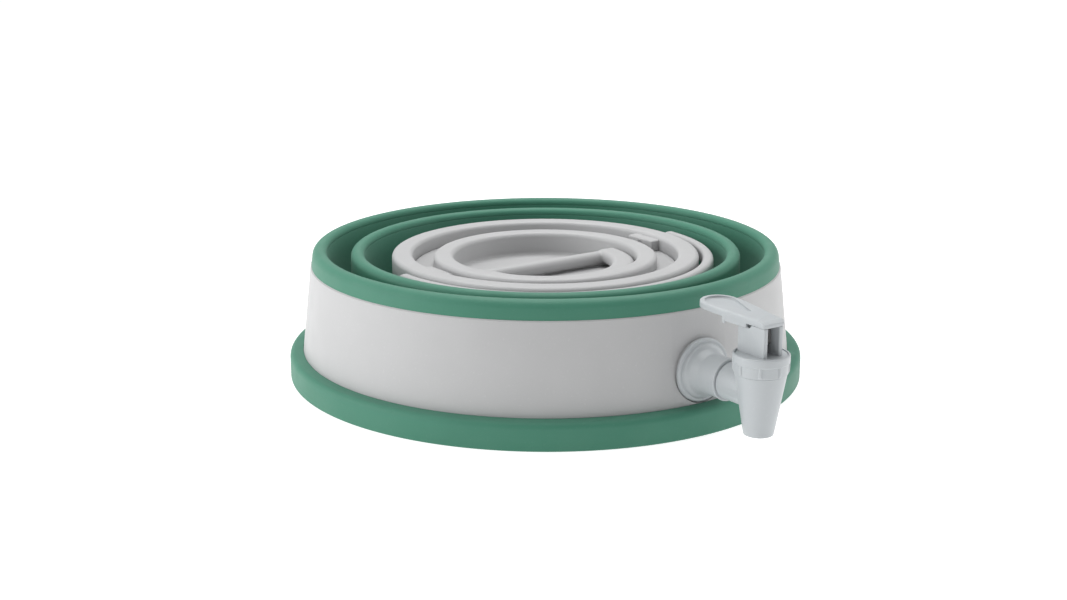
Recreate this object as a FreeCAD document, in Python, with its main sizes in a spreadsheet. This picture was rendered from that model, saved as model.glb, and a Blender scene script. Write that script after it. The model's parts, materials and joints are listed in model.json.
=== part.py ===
"""Collapsible camping water container, folded flat, with a lever tap.

Millimetres, +Z up.  The origin is the centre of the underside, on the container's own axis.
The tap points along -Y.  The bail and the lid grip both pivot about lines along X.
The container stands folded: the middle tier and the top tier slide up out of the base cup.
"""
import FreeCAD, Part
import math
import os
import re
import Sketcher

PARTS_FOLDER = "parts"

# name, size in millimetres (or a count), what it is
SIZES = [
    ("ring_radius", 140.0, "base ring, outer radius"),
    ("ring_height", 14.4, "base ring, height where it meets the wall"),
    ("ring_round", 3.2, "base ring, rounding of the upper outer edge"),
    ("ring_foot_round", 0.9, "base ring, rounding of the lower outer edge"),
    ("ring_fall", 0.6, "base ring, fall of its top towards the outside"),
    ("wall_foot_radius", 134.3, "cup wall, outer radius at the floor"),
    ("wall_top_radius", 127.4, "cup wall, outer radius at the top"),
    ("wall_height", 60.5, "cup wall, height"),
    ("wall_thickness", 2.5, "cup wall, thickness"),
    ("wall_bevel", 0.6, "cup wall, bevel of the top outer edge"),
    ("floor_thickness", 3.2, "cup floor, thickness"),
    ("floor_round", 3.0, "cup, rounding between floor and wall"),
    ("bond_gap", 0.05, "gap at a bonded or pressed seam"),
    ("skin", 1.8, "thickness of the silicone webs and bands"),
    ("fold_gap", 0.3, "gap between a fold web and the band that it turns into"),
    ("valley_height", 9.9, "height of the band ends, at the bottom of a fold"),
    ("valley_depth", 1.9, "how far the bend of a web hangs below the band ends"),
    ("rim_height", 69.7, "outer rim, crest"),
    ("rim_inset", 0.4, "outer rim, step in from the wall's outer face"),
    ("rim_lean", 1.1, "outer rim, lean of its outer face"),
    ("rim_inner_radius", 118.5, "outer rim, inner radius"),
    ("rim_lip_height", 66.0, "outer rim, height where the lower web starts"),
    ("rim_outer_round", 4.4, "outer rim, rounding on the outside"),
    ("rim_inner_round", 2.4, "outer rim, rounding on the inside"),
    ("rim_tongue_foot", 54.0, "outer rim, lower end of the tongue inside the wall"),
    ("rim_tongue", 3.2, "outer rim, thickness of the tongue"),
    ("lower_valley_radius", 108.0, "lower web, inner face at the bottom"),
    ("middle_radius", 105.7, "middle band, outer radius"),
    ("middle_rim_height", 67.5, "middle rim, crest"),
    ("middle_rim_inner", 98.5, "middle rim, inner radius"),
    ("middle_lip_height", 64.0, "middle rim, height where the upper web starts"),
    ("middle_outer_round", 3.0, "middle rim, rounding on the outside"),
    ("middle_inner_round", 2.4, "middle rim, rounding on the inside"),
    ("rim_root", 6.0, "middle rim, height of the thickening under the lip"),
    ("upper_valley_radius", 89.8, "upper web, inner face at the bottom"),
    ("top_band_foot_radius", 87.4, "top band, outer radius at the bottom"),
    ("collar_radius", 83.6, "collar, outer radius"),
    ("collar_height", 65.0, "collar, top"),
    ("collar_foot", 44.0, "collar, lower edge of the outer skirt"),
    ("collar_inner_radius", 72.3, "collar, radius of the channel's outer wall"),
    ("collar_wall", 2.4, "collar, wall thickness"),
    ("collar_round", 1.9, "collar, rounding of the top edges"),
    ("band_tongue_top", 52.0, "top band, upper end of the tongue inside the collar"),
    ("channel_height", 57.0, "floor of the channel round the lid"),
    ("channel_seam", 0.5, "seam between collar and neck ring"),
    ("inner_wall_foot", 51.3, "collar, lower edge of the inner wall"),
    ("neck_weld_lip", 2.2, "neck ring, thickness of the lip welded under the collar"),
    ("neck_flange", 2.2, "neck ring, thickness of the channel floor"),
    ("neck_bore", 57.1, "neck ring, bore of the filling mouth"),
    ("neck_wall", 1.7, "neck ring, wall of the mouth"),
    ("neck_top", 59.9, "neck ring, top of the mouth"),
    ("neck_foot", 38.0, "neck ring, lower end of the mouth"),
    ("lug_reach", 0.3, "neck and lid, reach of the interrupted thread"),
    ("lug_height", 1.6, "neck and lid, height of a thread lug"),
    ("lug_arc", 48.0, "neck and lid, arc of a thread lug in degrees"),
    ("lug_count", 4, "neck and lid, number of thread lugs round the mouth"),
    ("neck_lug_height", 52.0, "neck ring, height of its thread lugs"),
    ("cap_lug_height", 46.0, "lid, height of its thread lugs"),
    ("boss_half_width", 10.5, "pivot boss, half width along Y"),
    ("boss_inner", 66.0, "pivot boss, distance of its inner face from the axis"),
    ("boss_outer", 73.2, "pivot boss, distance of its root inside the collar wall"),
    ("boss_foot", 57.2, "pivot boss, underside"),
    ("boss_top", 63.2, "pivot boss, top"),
    ("pivot_height", 60.0, "bail pivot, height"),
    ("pin_radius", 2.0, "bail pin, radius"),
    ("pin_inner", 66.3, "bail pin, inner end"),
    ("pin_outer", 89.8, "bail pin, outer end"),
    ("pin_play", 0.05, "radial play of a pin in its bore"),
    ("bail_inner", 85.5, "bail, inner radius"),
    ("bail_outer", 91.5, "bail, outer radius"),
    ("bail_half_height", 4.0, "bail, half height and eye radius"),
    ("bail_bevel", 1.3, "bail, bevel of its edges"),
    ("bail_bore_end", 90.0, "bail, blind end of the eye's bore"),
    ("cap_radius", 61.0, "lid, outer radius"),
    ("cap_top", 63.5, "lid, top of the raised ring"),
    ("cap_round", 2.2, "lid, rounding of the raised ring"),
    ("cap_foot", 57.1, "lid, lower edge of the outer wall"),
    ("cap_wall", 1.7, "lid, outer wall thickness"),
    ("cap_groove_top", 61.3, "lid, top of the groove over the mouth"),
    ("cap_skirt_radius", 56.0, "lid, outer radius of the skirt in the mouth"),
    ("cap_skirt_inner", 53.6, "lid, inner radius of the skirt"),
    ("cap_skirt_foot", 40.0, "lid, lower end of the skirt"),
    ("recess_radius", 50.0, "lid recess, radius"),
    ("recess_floor", 51.0, "lid recess, floor"),
    ("recess_plate", 2.4, "lid recess, thickness of the floor"),
    ("recess_round", 1.4, "lid recess, rounding at the floor"),
    ("gasket_inner", 56.3, "lid gasket, inner radius"),
    ("gasket_outer", 59.0, "lid gasket, outer radius"),
    ("gasket_foot", 60.0, "lid gasket, underside"),
    ("grip_axis_height", 55.4, "lid grip, height of its axis"),
    ("grip_bar_radius", 3.9, "lid grip, radius of the straight bar"),
    ("grip_bar_end", 49.2, "lid grip, half length of the bar"),
    ("grip_inner", 36.5, "lid grip, inner radius of the arc"),
    ("grip_outer", 49.0, "lid grip, outer radius of the arc"),
    ("grip_foot", 52.6, "lid grip, underside of the arc"),
    ("grip_top", 60.0, "lid grip, top of the arc"),
    ("grip_bevel", 1.6, "lid grip, bevel of the arc's edges"),
    ("grip_lug_radius", 4.2, "lid grip, radius of the corner lugs about the axis"),
    ("grip_pin_radius", 1.5, "lid grip pin, radius"),
    ("grip_pin_inner", 45.0, "lid grip pin, inner end"),
    ("grip_pin_outer", 53.4, "lid grip pin, outer end"),
    ("grip_bore_inner", 44.8, "lid grip, blind end of the pin bore"),
    ("outlet_height", 30.5, "outlet, height of the shank's axis"),
    ("spot_distance", 129.8, "outlet, distance of the flat seat from the container's axis"),
    ("spot_radius", 15.2, "outlet, radius of the raised flat seat"),
    ("recess_cut_radius", 16.2, "outlet, radius of the shallow recess round the flat seat"),
    ("spot_back_radius", 18.6, "outlet, radius of the thicker wall behind the seat"),
    ("spot_inner", 125.2, "outlet, distance of the inner seat from the container's axis"),
    ("shank_radius", 8.2, "outlet, radius of the threaded shank"),
    ("shank_play", 0.2, "outlet, radial play of the shank in the wall"),
    ("shank_end", 116.2, "outlet, inner end of the shank"),
    ("water_bore", 5.2, "outlet, radius of the water way"),
    ("gasket_thickness", 0.8, "outlet gaskets, thickness"),
    ("outer_gasket_radius", 14.2, "outer gasket, radius"),
    ("inner_gasket_radius", 13.0, "inner gasket, radius"),
    ("flange_radius", 15.95, "outlet flange, radius"),
    ("flange_thickness", 2.6, "outlet flange, thickness"),
    ("step_radius", 12.6, "outlet flange, radius of the raised step"),
    ("step_end", 136.4, "outlet flange, distance where the step meets the tube"),
    ("socket_radius", 10.4, "outlet socket, outer radius"),
    ("socket_end", 151.2, "outlet socket, distance of its end"),
    ("socket_bore", 7.6, "outlet socket, bore for the tap's neck"),
    ("socket_floor", 137.5, "outlet socket, distance of the bore's floor"),
    ("socket_round", 0.9, "outlet socket, rounding of its end"),
    ("nut_thickness", 6.5, "lock nut, thickness"),
    ("nut_radius", 14.6, "lock nut, radius to its corners"),
    ("tap_reach", 172.0, "tap, distance of its upright axis from the container's axis"),
    ("neck_radius", 7.45, "tap neck, radius"),
    ("neck_end", 138.0, "tap neck, distance of its inner end"),
    ("neck_collar_radius", 9.2, "tap neck, radius between the socket and the body"),
    ("neck_collar_gap", 0.2, "tap neck, gap between its collar and the end of the socket"),
    ("neck_groove", 6.2, "tap neck, radius at the seal's groove"),
    ("neck_groove_from", 144.0, "tap neck, near side of the seal's groove"),
    ("neck_groove_to", 146.4, "tap neck, far side of the seal's groove"),
    ("nozzle_foot", 9.7, "tap nozzle, lower end"),
    ("nozzle_radius", 7.1, "tap nozzle, outer radius at the end"),
    ("nozzle_bore", 5.5, "tap nozzle, bore"),
    ("seat_height", 24.3, "tap, height where the bore opens into the valve seat"),
    ("seat_radius", 6.9, "tap, radius of the top of the valve seat"),
    ("seat_top", 25.6, "tap, top of the valve seat"),
    ("chamber_foot", 33.0, "tap, height where the chamber is full width"),
    ("chamber_radius", 9.0, "tap, radius of the chamber"),
    ("shoulder_height", 39.9, "tap body, shoulder under the bonnet nut"),
    ("shoulder_radius", 12.3, "tap body, radius at the shoulder"),
    ("thread_radius", 11.3, "tap body, radius of the neck inside the bonnet nut"),
    ("body_top", 46.0, "tap body, top"),
    ("bonnet_radius", 13.4, "bonnet nut, radius"),
    ("bonnet_wall_radius", 13.0, "bonnet nut, radius below the rim, between the ribs"),
    ("bonnet_foot_radius", 12.85, "bonnet nut, radius at the lower end"),
    ("bonnet_rim_foot", 45.8, "bonnet nut, lower edge of the raised rim"),
    ("bonnet_rim_inner", 12.3, "bonnet nut, inner radius of the raised rim"),
    ("bonnet_lip_top", 48.2, "bonnet nut, top of the lip that holds the disc"),
    ("bonnet_top", 49.4, "bonnet nut, top"),
    ("bonnet_lip", 1.2, "bonnet nut, thickness of the lip that holds the disc"),
    ("bonnet_mouth", 10.5, "bonnet nut, radius of the hole in the lip"),
    ("bonnet_round", 0.8, "bonnet nut, rounding of the top edge"),
    ("rib_reach", 0.35, "bonnet nut, reach of its ribs"),
    ("rib_half_width", 1.15, "bonnet nut, half width of a rib"),
    ("rib_foot", 40.2, "bonnet nut, lower end of its ribs"),
    ("rib_top", 46.2, "bonnet nut, upper end of its ribs"),
    ("rib_count", 8, "bonnet nut, number of ribs"),
    ("disc_radius", 11.1, "lever mount, radius of the captive disc"),
    ("disc_top", 46.9, "lever mount, top of the captive disc"),
    ("seal_top", 47.8, "lever mount, top of the bore that holds the stem seal"),
    ("cover_radius", 12.1, "lever mount, radius of the cover disc"),
    ("cover_foot", 48.3, "lever mount, underside of the cover disc"),
    ("spigot_radius", 10.3, "lever mount, radius where it passes the bonnet nut"),
    ("box_foot", 49.0, "lever mount, top of the cover disc and foot of the box"),
    ("box_top", 62.9, "lever mount, top of the upright box"),
    ("box_half_width", 5.8, "lever mount, half width of the box"),
    ("box_front", 7.7, "lever mount, reach of the box in front of the axis"),
    ("box_back", 10.6, "lever mount, reach of the box behind the axis"),
    ("slot_half_width", 3.5, "lever mount, half width of the slot"),
    ("slot_back", 8.4, "lever mount, reach of the slot behind the axis"),
    ("notch_back", 2.9, "lever mount, distance of the round notches behind the axis"),
    ("notch_height", 62.8, "lever mount, height of the notches' centre"),
    ("notch_radius", 1.4, "lever mount, radius of the notches"),
    ("stem_radius", 2.4, "valve stem, radius"),
    ("seal_radius", 3.6, "stem seal, outer radius"),
    ("stem_shoulder_radius", 5.0, "valve stem, radius of the shoulder"),
    ("stem_shoulder_foot", 28.9, "valve stem, underside of the shoulder"),
    ("stem_shoulder_top", 30.1, "valve stem, top of the shoulder"),
    ("stem_nose_radius", 1.9, "valve stem, radius of the nose in the plug"),
    ("stem_nose_foot", 26.2, "valve stem, lower end of the nose"),
    ("fork_foot", 54.0, "valve stem, foot of the fork"),
    ("fork_half_width", 3.0, "valve stem, half width of the fork"),
    ("fork_radius", 2.6, "valve stem, radius of the fork's ears"),
    ("fork_slot", 1.6, "valve stem, half width of the gap between the ears"),
    ("fork_slot_floor", 56.0, "valve stem, floor of the gap between the ears"),
    ("plug_radius", 6.75, "seat plug, radius"),
    ("plug_nose_radius", 5.6, "seat plug, radius of the nose"),
    ("plug_foot", 24.6, "seat plug, lower end"),
    ("plug_cone_top", 25.7, "seat plug, top of the cone"),
    ("spring_radius", 4.35, "return spring, mean radius"),
    ("spring_wire", 0.4, "return spring, wire radius"),
    ("spring_foot", 30.6, "return spring, centre of the lowest coil"),
    ("spring_top", 45.5, "return spring, centre of the highest coil"),
    ("spring_turns", 6, "return spring, number of turns"),
    ("lever_pin_height", 59.5, "lever pin, height"),
    ("lever_pin_radius", 1.0, "lever pin, radius"),
    ("lever_foot", 63.4, "lever plate, underside"),
    ("lever_top", 66.7, "lever plate, top"),
    ("lever_front", 7.8, "lever plate, reach in front of the axis"),
    ("lever_half_width", 6.6, "lever plate, half width at the front"),
    ("lever_straight", 12.0, "lever plate, distance behind the axis where its sides turn towards the pad"),
    ("lever_shoulder", 8.9, "lever plate, half width where its sides turn"),
    ("lever_rise", 2.6, "lever, tilt of the whole lever up towards the pad, in degrees"),
    ("pad_distance", 29.2, "lever pad, distance of its centre behind the axis"),
    ("pad_radius", 9.9, "lever pad, radius"),
    ("pad_dish_radius", 6.2, "lever pad, radius of the sunken dish"),
    ("dish_point", 9.0, "lever pad, distance behind the axis of the pointed end of the dish"),
    ("dish_point_width", 0.8, "lever pad, half width of the pointed end of the dish"),
    ("pad_dish_depth", 0.7, "lever pad, depth of the sunken dish"),
    ("lever_lug", 1.4, "lever, half width of the lug on the pin"),
    ("lever_lug_radius", 2.3, "lever, radius of the lug on the pin"),
    ("lever_skirt_from", 3.6, "lever skirts, front end"),
    ("lever_skirt_to", 17.8, "lever skirts, back end"),
    ("lever_skirt_foot", 61.5, "lever skirts, lower edge"),
    ("lever_skirt_outer", 7.2, "lever skirts, outer face at the front end"),
    ("lever_skirt_wall", 1.1, "lever skirts, thickness"),
    ("lever_skirt_end", 9.4, "lever skirts, outer face at the back end"),
    ("lever_tab", 2.0, "lever skirts, length of the tab at the back end"),
    ("lever_tab_foot", 60.4, "lever skirts, lower edge of the tab"),
]

doc = FreeCAD.newDocument("water_container")
sheet = doc.addObject("Spreadsheet::Sheet", "Sizes")
for row, (name, value, meaning) in enumerate(SIZES, start=1):
    sheet.set("A%d" % row, meaning)
    sheet.set("B%d" % row, str(value))
    sheet.setAlias("B%d" % row, name)
doc.recompute()

TAPER = "(wall_foot_radius - wall_top_radius) / wall_height"
parts = []


def size(name):
    """A driving size from the sheet, for the shapes that are made in code."""
    return float(sheet.get(name))


def bound(text):
    """The expression with each word pointing at its cell in the sheet."""
    return re.sub(r"[a-z][a-z_]*", lambda word: "Sizes." + word.group(0), text)


def new_body(label):
    """An empty body that is listed as one piece of the container."""
    body = doc.addObject("PartDesign::Body", label)
    body.Label = label
    parts.append(body)
    return body


def new_sketch(body, role, name, offset=None):
    """A sketch on one of the body's origin planes, moved along its normal by an expression."""
    plane = [item for item in body.Origin.OriginFeatures if item.Role == role][0]
    sketch = body.newObject("Sketcher::SketchObject", name)
    sketch.AttachmentSupport = [(plane, "")]
    sketch.MapMode = "FlatFace"
    if offset:
        sketch.setExpression("AttachmentOffset.Base.z", bound(offset))
    return sketch


def hold(sketch, kind, geometry, point, text):
    """Hold one coordinate of a point to an expression, measured from the sketch's origin."""
    if text == "0":
        axis = -2 if kind == "DistanceX" else -1
        sketch.addConstraint(Sketcher.Constraint("PointOnObject", geometry, point, axis))
        return
    start = 1.0
    index = sketch.addConstraint(Sketcher.Constraint(kind, -1, 1, geometry, point, start))
    sketch.setExpression("Constraints[%d]" % index, bound(text))


def draw_outline(sketch, corners):
    """A closed outline of straight sides through corners given as pairs of expressions."""
    count = len(corners)
    first = sketch.GeometryCount
    turn = 2.0 * math.pi / count
    rough = [FreeCAD.Vector(40 + 30 * math.cos(turn * i), 40 + 30 * math.sin(turn * i), 0)
             for i in range(count)]
    for i in range(count):
        sketch.addGeometry(Part.LineSegment(rough[i], rough[(i + 1) % count]), False)
    for i in range(count):
        after = first + (i + 1) % count
        sketch.addConstraint(Sketcher.Constraint("Coincident", first + i, 2, after, 1))
    for i, (across, up) in enumerate(corners):
        hold(sketch, "DistanceX", first + i, 1, across)
        hold(sketch, "DistanceY", first + i, 1, up)


def draw_circle(sketch, across, up, radius):
    """A circle whose centre and radius are expressions."""
    index = sketch.GeometryCount
    circle = Part.Circle(FreeCAD.Vector(5, 5, 0), FreeCAD.Vector(0, 0, 1), 3)
    sketch.addGeometry(circle, False)
    hold(sketch, "DistanceX", index, 3, across)
    hold(sketch, "DistanceY", index, 3, up)
    datum = sketch.addConstraint(Sketcher.Constraint("Radius", index, 3.0))
    sketch.setExpression("Constraints[%d]" % datum, bound(radius))


def turn_solid(body, name, corners, kind="PartDesign::Revolution", angle=None, backwards=False):
    """A profile in the XZ plane turned about the Z axis, added to the body or cut from it."""
    sketch = new_sketch(body, "XZ_Plane", name + "_profile")
    draw_outline(sketch, corners)
    feature = body.newObject(kind, name)
    feature.Profile = sketch
    feature.ReferenceAxis = (sketch, ["V_Axis"])
    feature.Angle = 360.0
    if angle:
        feature.setExpression("Angle", bound(angle))
    feature.Reversed = backwards
    doc.recompute()
    return feature


def push_sketch(body, sketch, name, length, cut=False, backwards=False, both=False):
    """Pad a sketch, or pocket it, by a length given as an expression."""
    kind = "PartDesign::Pocket" if cut else "PartDesign::Pad"
    feature = body.newObject(kind, name)
    feature.Profile = sketch
    if both:
        feature.Midplane = True
    feature.setExpression("Length", bound(length))
    feature.Reversed = backwards
    doc.recompute()
    return feature


def ring_edges(shape, radius, height):
    """Names of the circular edges about the Z axis at a radius and a height."""
    names = []
    for index, edge in enumerate(shape.Edges, start=1):
        if not isinstance(edge.Curve, Part.Circle):
            continue
        centre = edge.Curve.Center
        on_axis = abs(centre.x) < 1e-3 and abs(centre.y) < 1e-3
        if on_axis and abs(edge.Curve.Radius - radius) < 1e-3 and abs(centre.z - height) < 1e-3:
            names.append("Edge%d" % index)
    return names


def round_rings(body, turned, corners, radius, kind="PartDesign::Fillet"):
    """Round or bevel the edges that numbered corners of a turned profile sweep out."""
    sketch = turned.Profile[0]
    base = body.Tip
    names = []
    for corner in corners:
        point = sketch.Geometry[corner].StartPoint
        names += ring_edges(base.Shape, point.x, point.y)
    feature = body.newObject(kind, "%s_edge_%s" % (body.Label, radius))
    feature.Base = (base, names)
    feature.setExpression("Size" if kind == "PartDesign::Chamfer" else "Radius", bound(radius))
    doc.recompute()
    return feature


def repeat_round(body, feature, count):
    """Repeat a feature evenly round the Z axis."""
    pattern = body.newObject("PartDesign::PolarPattern", feature.Name + "_round")
    axis = [item for item in body.Origin.OriginFeatures if item.Role == "Z_Axis"][0]
    pattern.Originals = [feature]
    pattern.Axis = (axis, [""])
    pattern.Angle = 360.0
    pattern.setExpression("Occurrences", bound(count))
    body.Tip = pattern
    doc.recompute()
    return pattern


def mirror_in_yz(body, features):
    """Mirror features of a body in its YZ plane."""
    mirror = body.newObject("PartDesign::Mirrored", body.Label + "_mirror")
    plane = [item for item in body.Origin.OriginFeatures if item.Role == "YZ_Plane"][0]
    mirror.Originals = features
    mirror.MirrorPlane = (plane, [""])
    body.Tip = mirror
    doc.recompute()
    return mirror


def move_to_tap(body):
    """Put a piece that was drawn about its own upright axis on the tap's axis."""
    body.setExpression("Placement.Base.y", bound("-tap_reach"))


def lay_along_outlet(body):
    """Put a piece that was drawn about its own Z axis on the outlet's axis, pointing along -Y."""
    body.Placement.Rotation = FreeCAD.Rotation(FreeCAD.Vector(1, 0, 0), 90)
    body.setExpression("Placement.Base.z", bound("outlet_height"))


# ---------------------------------------------------------------- base: cup, ring and outer rim

def make_base_cup():
    """Stiff cup: flat floor and tapered wall, with a flat seat and a hole for the outlet."""
    body = new_body("base_cup")
    shell = turn_solid(body, "cup_shell", [
        ("0", "0"),
        ("wall_foot_radius", "0"),
        ("wall_top_radius", "wall_height"),
        ("wall_top_radius - wall_thickness", "wall_height"),
        ("wall_foot_radius - wall_thickness - floor_thickness * " + TAPER, "floor_thickness"),
        ("0", "floor_thickness"),
    ])
    round_rings(body, shell, [4], "floor_round")
    round_rings(body, shell, [2], "wall_bevel", "PartDesign::Chamfer")
    backing = new_sketch(body, "XZ_Plane", "backing_sketch", "spot_distance")
    draw_circle(backing, "0", "outlet_height", "spot_back_radius")
    push_sketch(body, backing, "seat_backing", "spot_distance - spot_inner", backwards=True)
    turn_solid(body, "backing_trim", [
        ("wall_foot_radius", "0"),
        ("wall_foot_radius + wall_thickness", "0"),
        ("wall_foot_radius + wall_thickness", "wall_height - 2 * wall_bevel"),
        ("wall_top_radius + 2 * wall_bevel * " + TAPER, "wall_height - 2 * wall_bevel"),
    ], kind="PartDesign::Groove")
    seat = new_sketch(body, "XZ_Plane", "seat_sketch", "spot_distance")
    draw_circle(seat, "0", "outlet_height", "spot_radius")
    push_sketch(body, seat, "seat_boss", "spot_distance - spot_inner", backwards=True)
    face = new_sketch(body, "XZ_Plane", "face_sketch", "spot_distance")
    draw_circle(face, "0", "outlet_height", "recess_cut_radius")
    push_sketch(body, face, "spot_face", "2 * wall_thickness", cut=True, backwards=True)
    hole = new_sketch(body, "XZ_Plane", "hole_sketch", "spot_distance + wall_thickness")
    draw_circle(hole, "0", "outlet_height", "shank_radius + shank_play")
    push_sketch(body, hole, "outlet_hole", "4 * wall_thickness + spot_distance - spot_inner",
                cut=True)


def make_base_ring():
    """Soft ring round the foot of the cup."""
    body = new_body("base_ring")
    ring = turn_solid(body, "ring_turn", [
        ("wall_foot_radius + bond_gap", "0"),
        ("ring_radius", "0"),
        ("ring_radius", "ring_height - ring_fall"),
        ("wall_foot_radius + bond_gap - ring_height * " + TAPER, "ring_height"),
    ])
    round_rings(body, ring, [2], "ring_round")
    round_rings(body, ring, [1], "ring_foot_round")


def make_outer_rim():
    """Thick silicone rim on top of the wall, with a tongue moulded down its inside."""
    body = new_body("outer_rim")
    inner_face = "wall_top_radius - wall_thickness - bond_gap"
    tongue = inner_face + " + (wall_height - rim_tongue_foot) * " + TAPER
    rim = turn_solid(body, "rim_turn", [
        ("wall_top_radius - wall_bevel + bond_gap", "wall_height + bond_gap"),
        ("wall_top_radius - rim_inset - rim_lean", "rim_height"),
        ("rim_inner_radius", "rim_height"),
        ("rim_inner_radius", "rim_lip_height"),
        ("rim_inner_radius + skin", "rim_lip_height"),
        (inner_face + " - rim_tongue", "wall_height"),
        (tongue + " - rim_tongue", "rim_tongue_foot"),
        (tongue, "rim_tongue_foot"),
        (inner_face, "wall_height + bond_gap"),
    ])
    round_rings(body, rim, [1], "rim_outer_round")
    round_rings(body, rim, [2], "rim_inner_round")


def make_web(label, start_radius, start_height, valley_radius, band_radius):
    """Thin silicone web: down from a rim, then bent back up to the foot of the next band."""
    body = new_body(label)
    foot = "valley_height - valley_depth"
    turn_solid(body, label + "_turn", [
        (start_radius, start_height + " - bond_gap"),
        (start_radius + " + skin", start_height + " - bond_gap"),
        (valley_radius + " + skin", "valley_height"),
        (valley_radius + " + skin / 3", foot),
        (band_radius + " - skin / 3", foot),
        (band_radius + " - skin", "valley_height - fold_gap"),
        (band_radius, "valley_height - fold_gap"),
        (band_radius + " + skin / 4", "valley_height - fold_gap - skin / 9"),
        (valley_radius + " - skin / 4", "valley_height - fold_gap - skin / 9"),
        (valley_radius, "valley_height"),
    ])


# ---------------------------------------------------------------- middle tier and top band

def make_middle_band():
    """Middle tier: an upright band that carries the second rim."""
    body = new_body("middle_band")
    band = turn_solid(body, "middle_turn", [
        ("middle_radius - skin", "valley_height"),
        ("middle_radius", "valley_height"),
        ("middle_radius", "middle_rim_height"),
        ("middle_rim_inner", "middle_rim_height"),
        ("middle_rim_inner", "middle_lip_height"),
        ("middle_rim_inner + skin", "middle_lip_height"),
        ("middle_radius - 1.6 * skin", "middle_lip_height - rim_root"),
    ])
    round_rings(body, band, [2], "middle_outer_round")
    round_rings(body, band, [3], "middle_inner_round")


def make_top_band():
    """Top tier: a band that hangs from inside the collar's skirt."""
    body = new_body("top_band")
    inner_face = "collar_radius - collar_wall - bond_gap"
    turn_solid(body, "top_band_turn", [
        ("top_band_foot_radius - skin", "valley_height"),
        ("top_band_foot_radius", "valley_height"),
        ("collar_radius", "collar_foot - bond_gap"),
        (inner_face, "collar_foot - bond_gap"),
        (inner_face, "band_tongue_top"),
        (inner_face + " - skin", "band_tongue_top"),
        (inner_face + " - skin", "collar_foot - 2 * skin"),
    ])


# ---------------------------------------------------------------- collar, neck and bail

def make_collar():
    """Stiff ring on top of the container, with the two bosses that hold the bail's pins."""
    body = new_body("collar")
    ring = turn_solid(body, "collar_turn", [
        ("collar_radius", "collar_foot"),
        ("collar_radius", "collar_height"),
        ("collar_inner_radius", "collar_height"),
        ("collar_inner_radius", "inner_wall_foot"),
        ("collar_inner_radius + collar_wall", "inner_wall_foot"),
        ("collar_inner_radius + collar_wall", "collar_height - collar_wall"),
        ("collar_radius - collar_wall", "collar_height - collar_wall"),
        ("collar_radius - collar_wall", "collar_foot"),
    ])
    round_rings(body, ring, [1, 2], "collar_round")
    boss = new_sketch(body, "YZ_Plane", "boss_sketch", "boss_inner")
    draw_outline(boss, [
        ("-boss_half_width", "boss_foot"),
        ("boss_half_width", "boss_foot"),
        ("boss_half_width", "boss_top"),
        ("-boss_half_width", "boss_top"),
    ])
    block = push_sketch(body, boss, "pivot_boss", "boss_outer - boss_inner")
    mirror_in_yz(body, [block])
    bore = new_sketch(body, "YZ_Plane", "pin_bore_sketch")
    draw_circle(bore, "0", "pivot_height", "pin_radius + bond_gap / 2")
    push_sketch(body, bore, "pin_bore", "3 * collar_radius", cut=True, both=True)


def lug_profile(root, tip, middle):
    """Section of a thread lug: a low trapezium from the root radius to the tip radius."""
    return [
        (root, middle + " - lug_height / 2"),
        (root, middle + " + lug_height / 2"),
        (tip, middle + " + lug_height / 4"),
        (tip, middle + " - lug_height / 4"),
    ]


def make_neck_ring():
    """Channel floor and threaded filling mouth, welded in from below the collar."""
    body = new_body("neck_ring")
    edge = "collar_inner_radius - channel_seam"
    lip_radius = "collar_inner_radius + collar_wall - bond_gap"
    skirt_inner = edge + " - collar_wall"
    weld_top = "inner_wall_foot - bond_gap"
    turn_solid(body, "neck_turn", [
        ("neck_bore", "neck_foot"),
        ("neck_bore", "neck_top"),
        ("neck_bore + neck_wall", "neck_top"),
        ("neck_bore + neck_wall", "channel_height"),
        (edge, "channel_height"),
        (edge, weld_top),
        (lip_radius, weld_top),
        (lip_radius, weld_top + " - neck_weld_lip"),
        (skirt_inner, weld_top + " - neck_weld_lip"),
        (skirt_inner, "channel_height - neck_flange"),
        ("neck_bore + neck_wall", "channel_height - neck_flange"),
        ("neck_bore + neck_wall", "neck_foot"),
    ])
    profile = lug_profile("neck_bore + bond_gap", "neck_bore - lug_reach", "neck_lug_height")
    lug = turn_solid(body, "neck_lug", profile, angle="lug_arc")
    repeat_round(body, lug, "lug_count")


def make_bail_pins():
    """The two pins that the carrying bail swings on, one solid each side."""
    for side, name in ((1, "right"), (-1, "left")):
        pin = doc.addObject("Part::Cylinder", "bail_pin_" + name)
        pin.setExpression("Radius", bound("pin_radius"))
        pin.setExpression("Height", bound("pin_outer - pin_inner"))
        pin.Placement.Rotation = FreeCAD.Rotation(FreeCAD.Vector(0, 1, 0), 90 * side)
        pin.setExpression("Placement.Base.x", bound("%d * pin_inner" % side))
        pin.setExpression("Placement.Base.z", bound("pivot_height"))
    pair = doc.addObject("Part::Compound", "bail_pins")
    pair.Links = [doc.getObject("bail_pin_right"), doc.getObject("bail_pin_left")]
    pair.Label = "bail_pins"
    parts.append(pair)


def beveled_section(inner, outer, foot, top, bevel):
    """A rectangle in the XZ plane with its four corners beveled."""
    return [
        (inner + " + " + bevel, foot),
        (outer + " - " + bevel, foot),
        (outer, foot + " + " + bevel),
        (outer, top + " - " + bevel),
        (outer + " - " + bevel, top),
        (inner + " + " + bevel, top),
        (inner, top + " - " + bevel),
        (inner, foot + " + " + bevel),
    ]


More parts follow.
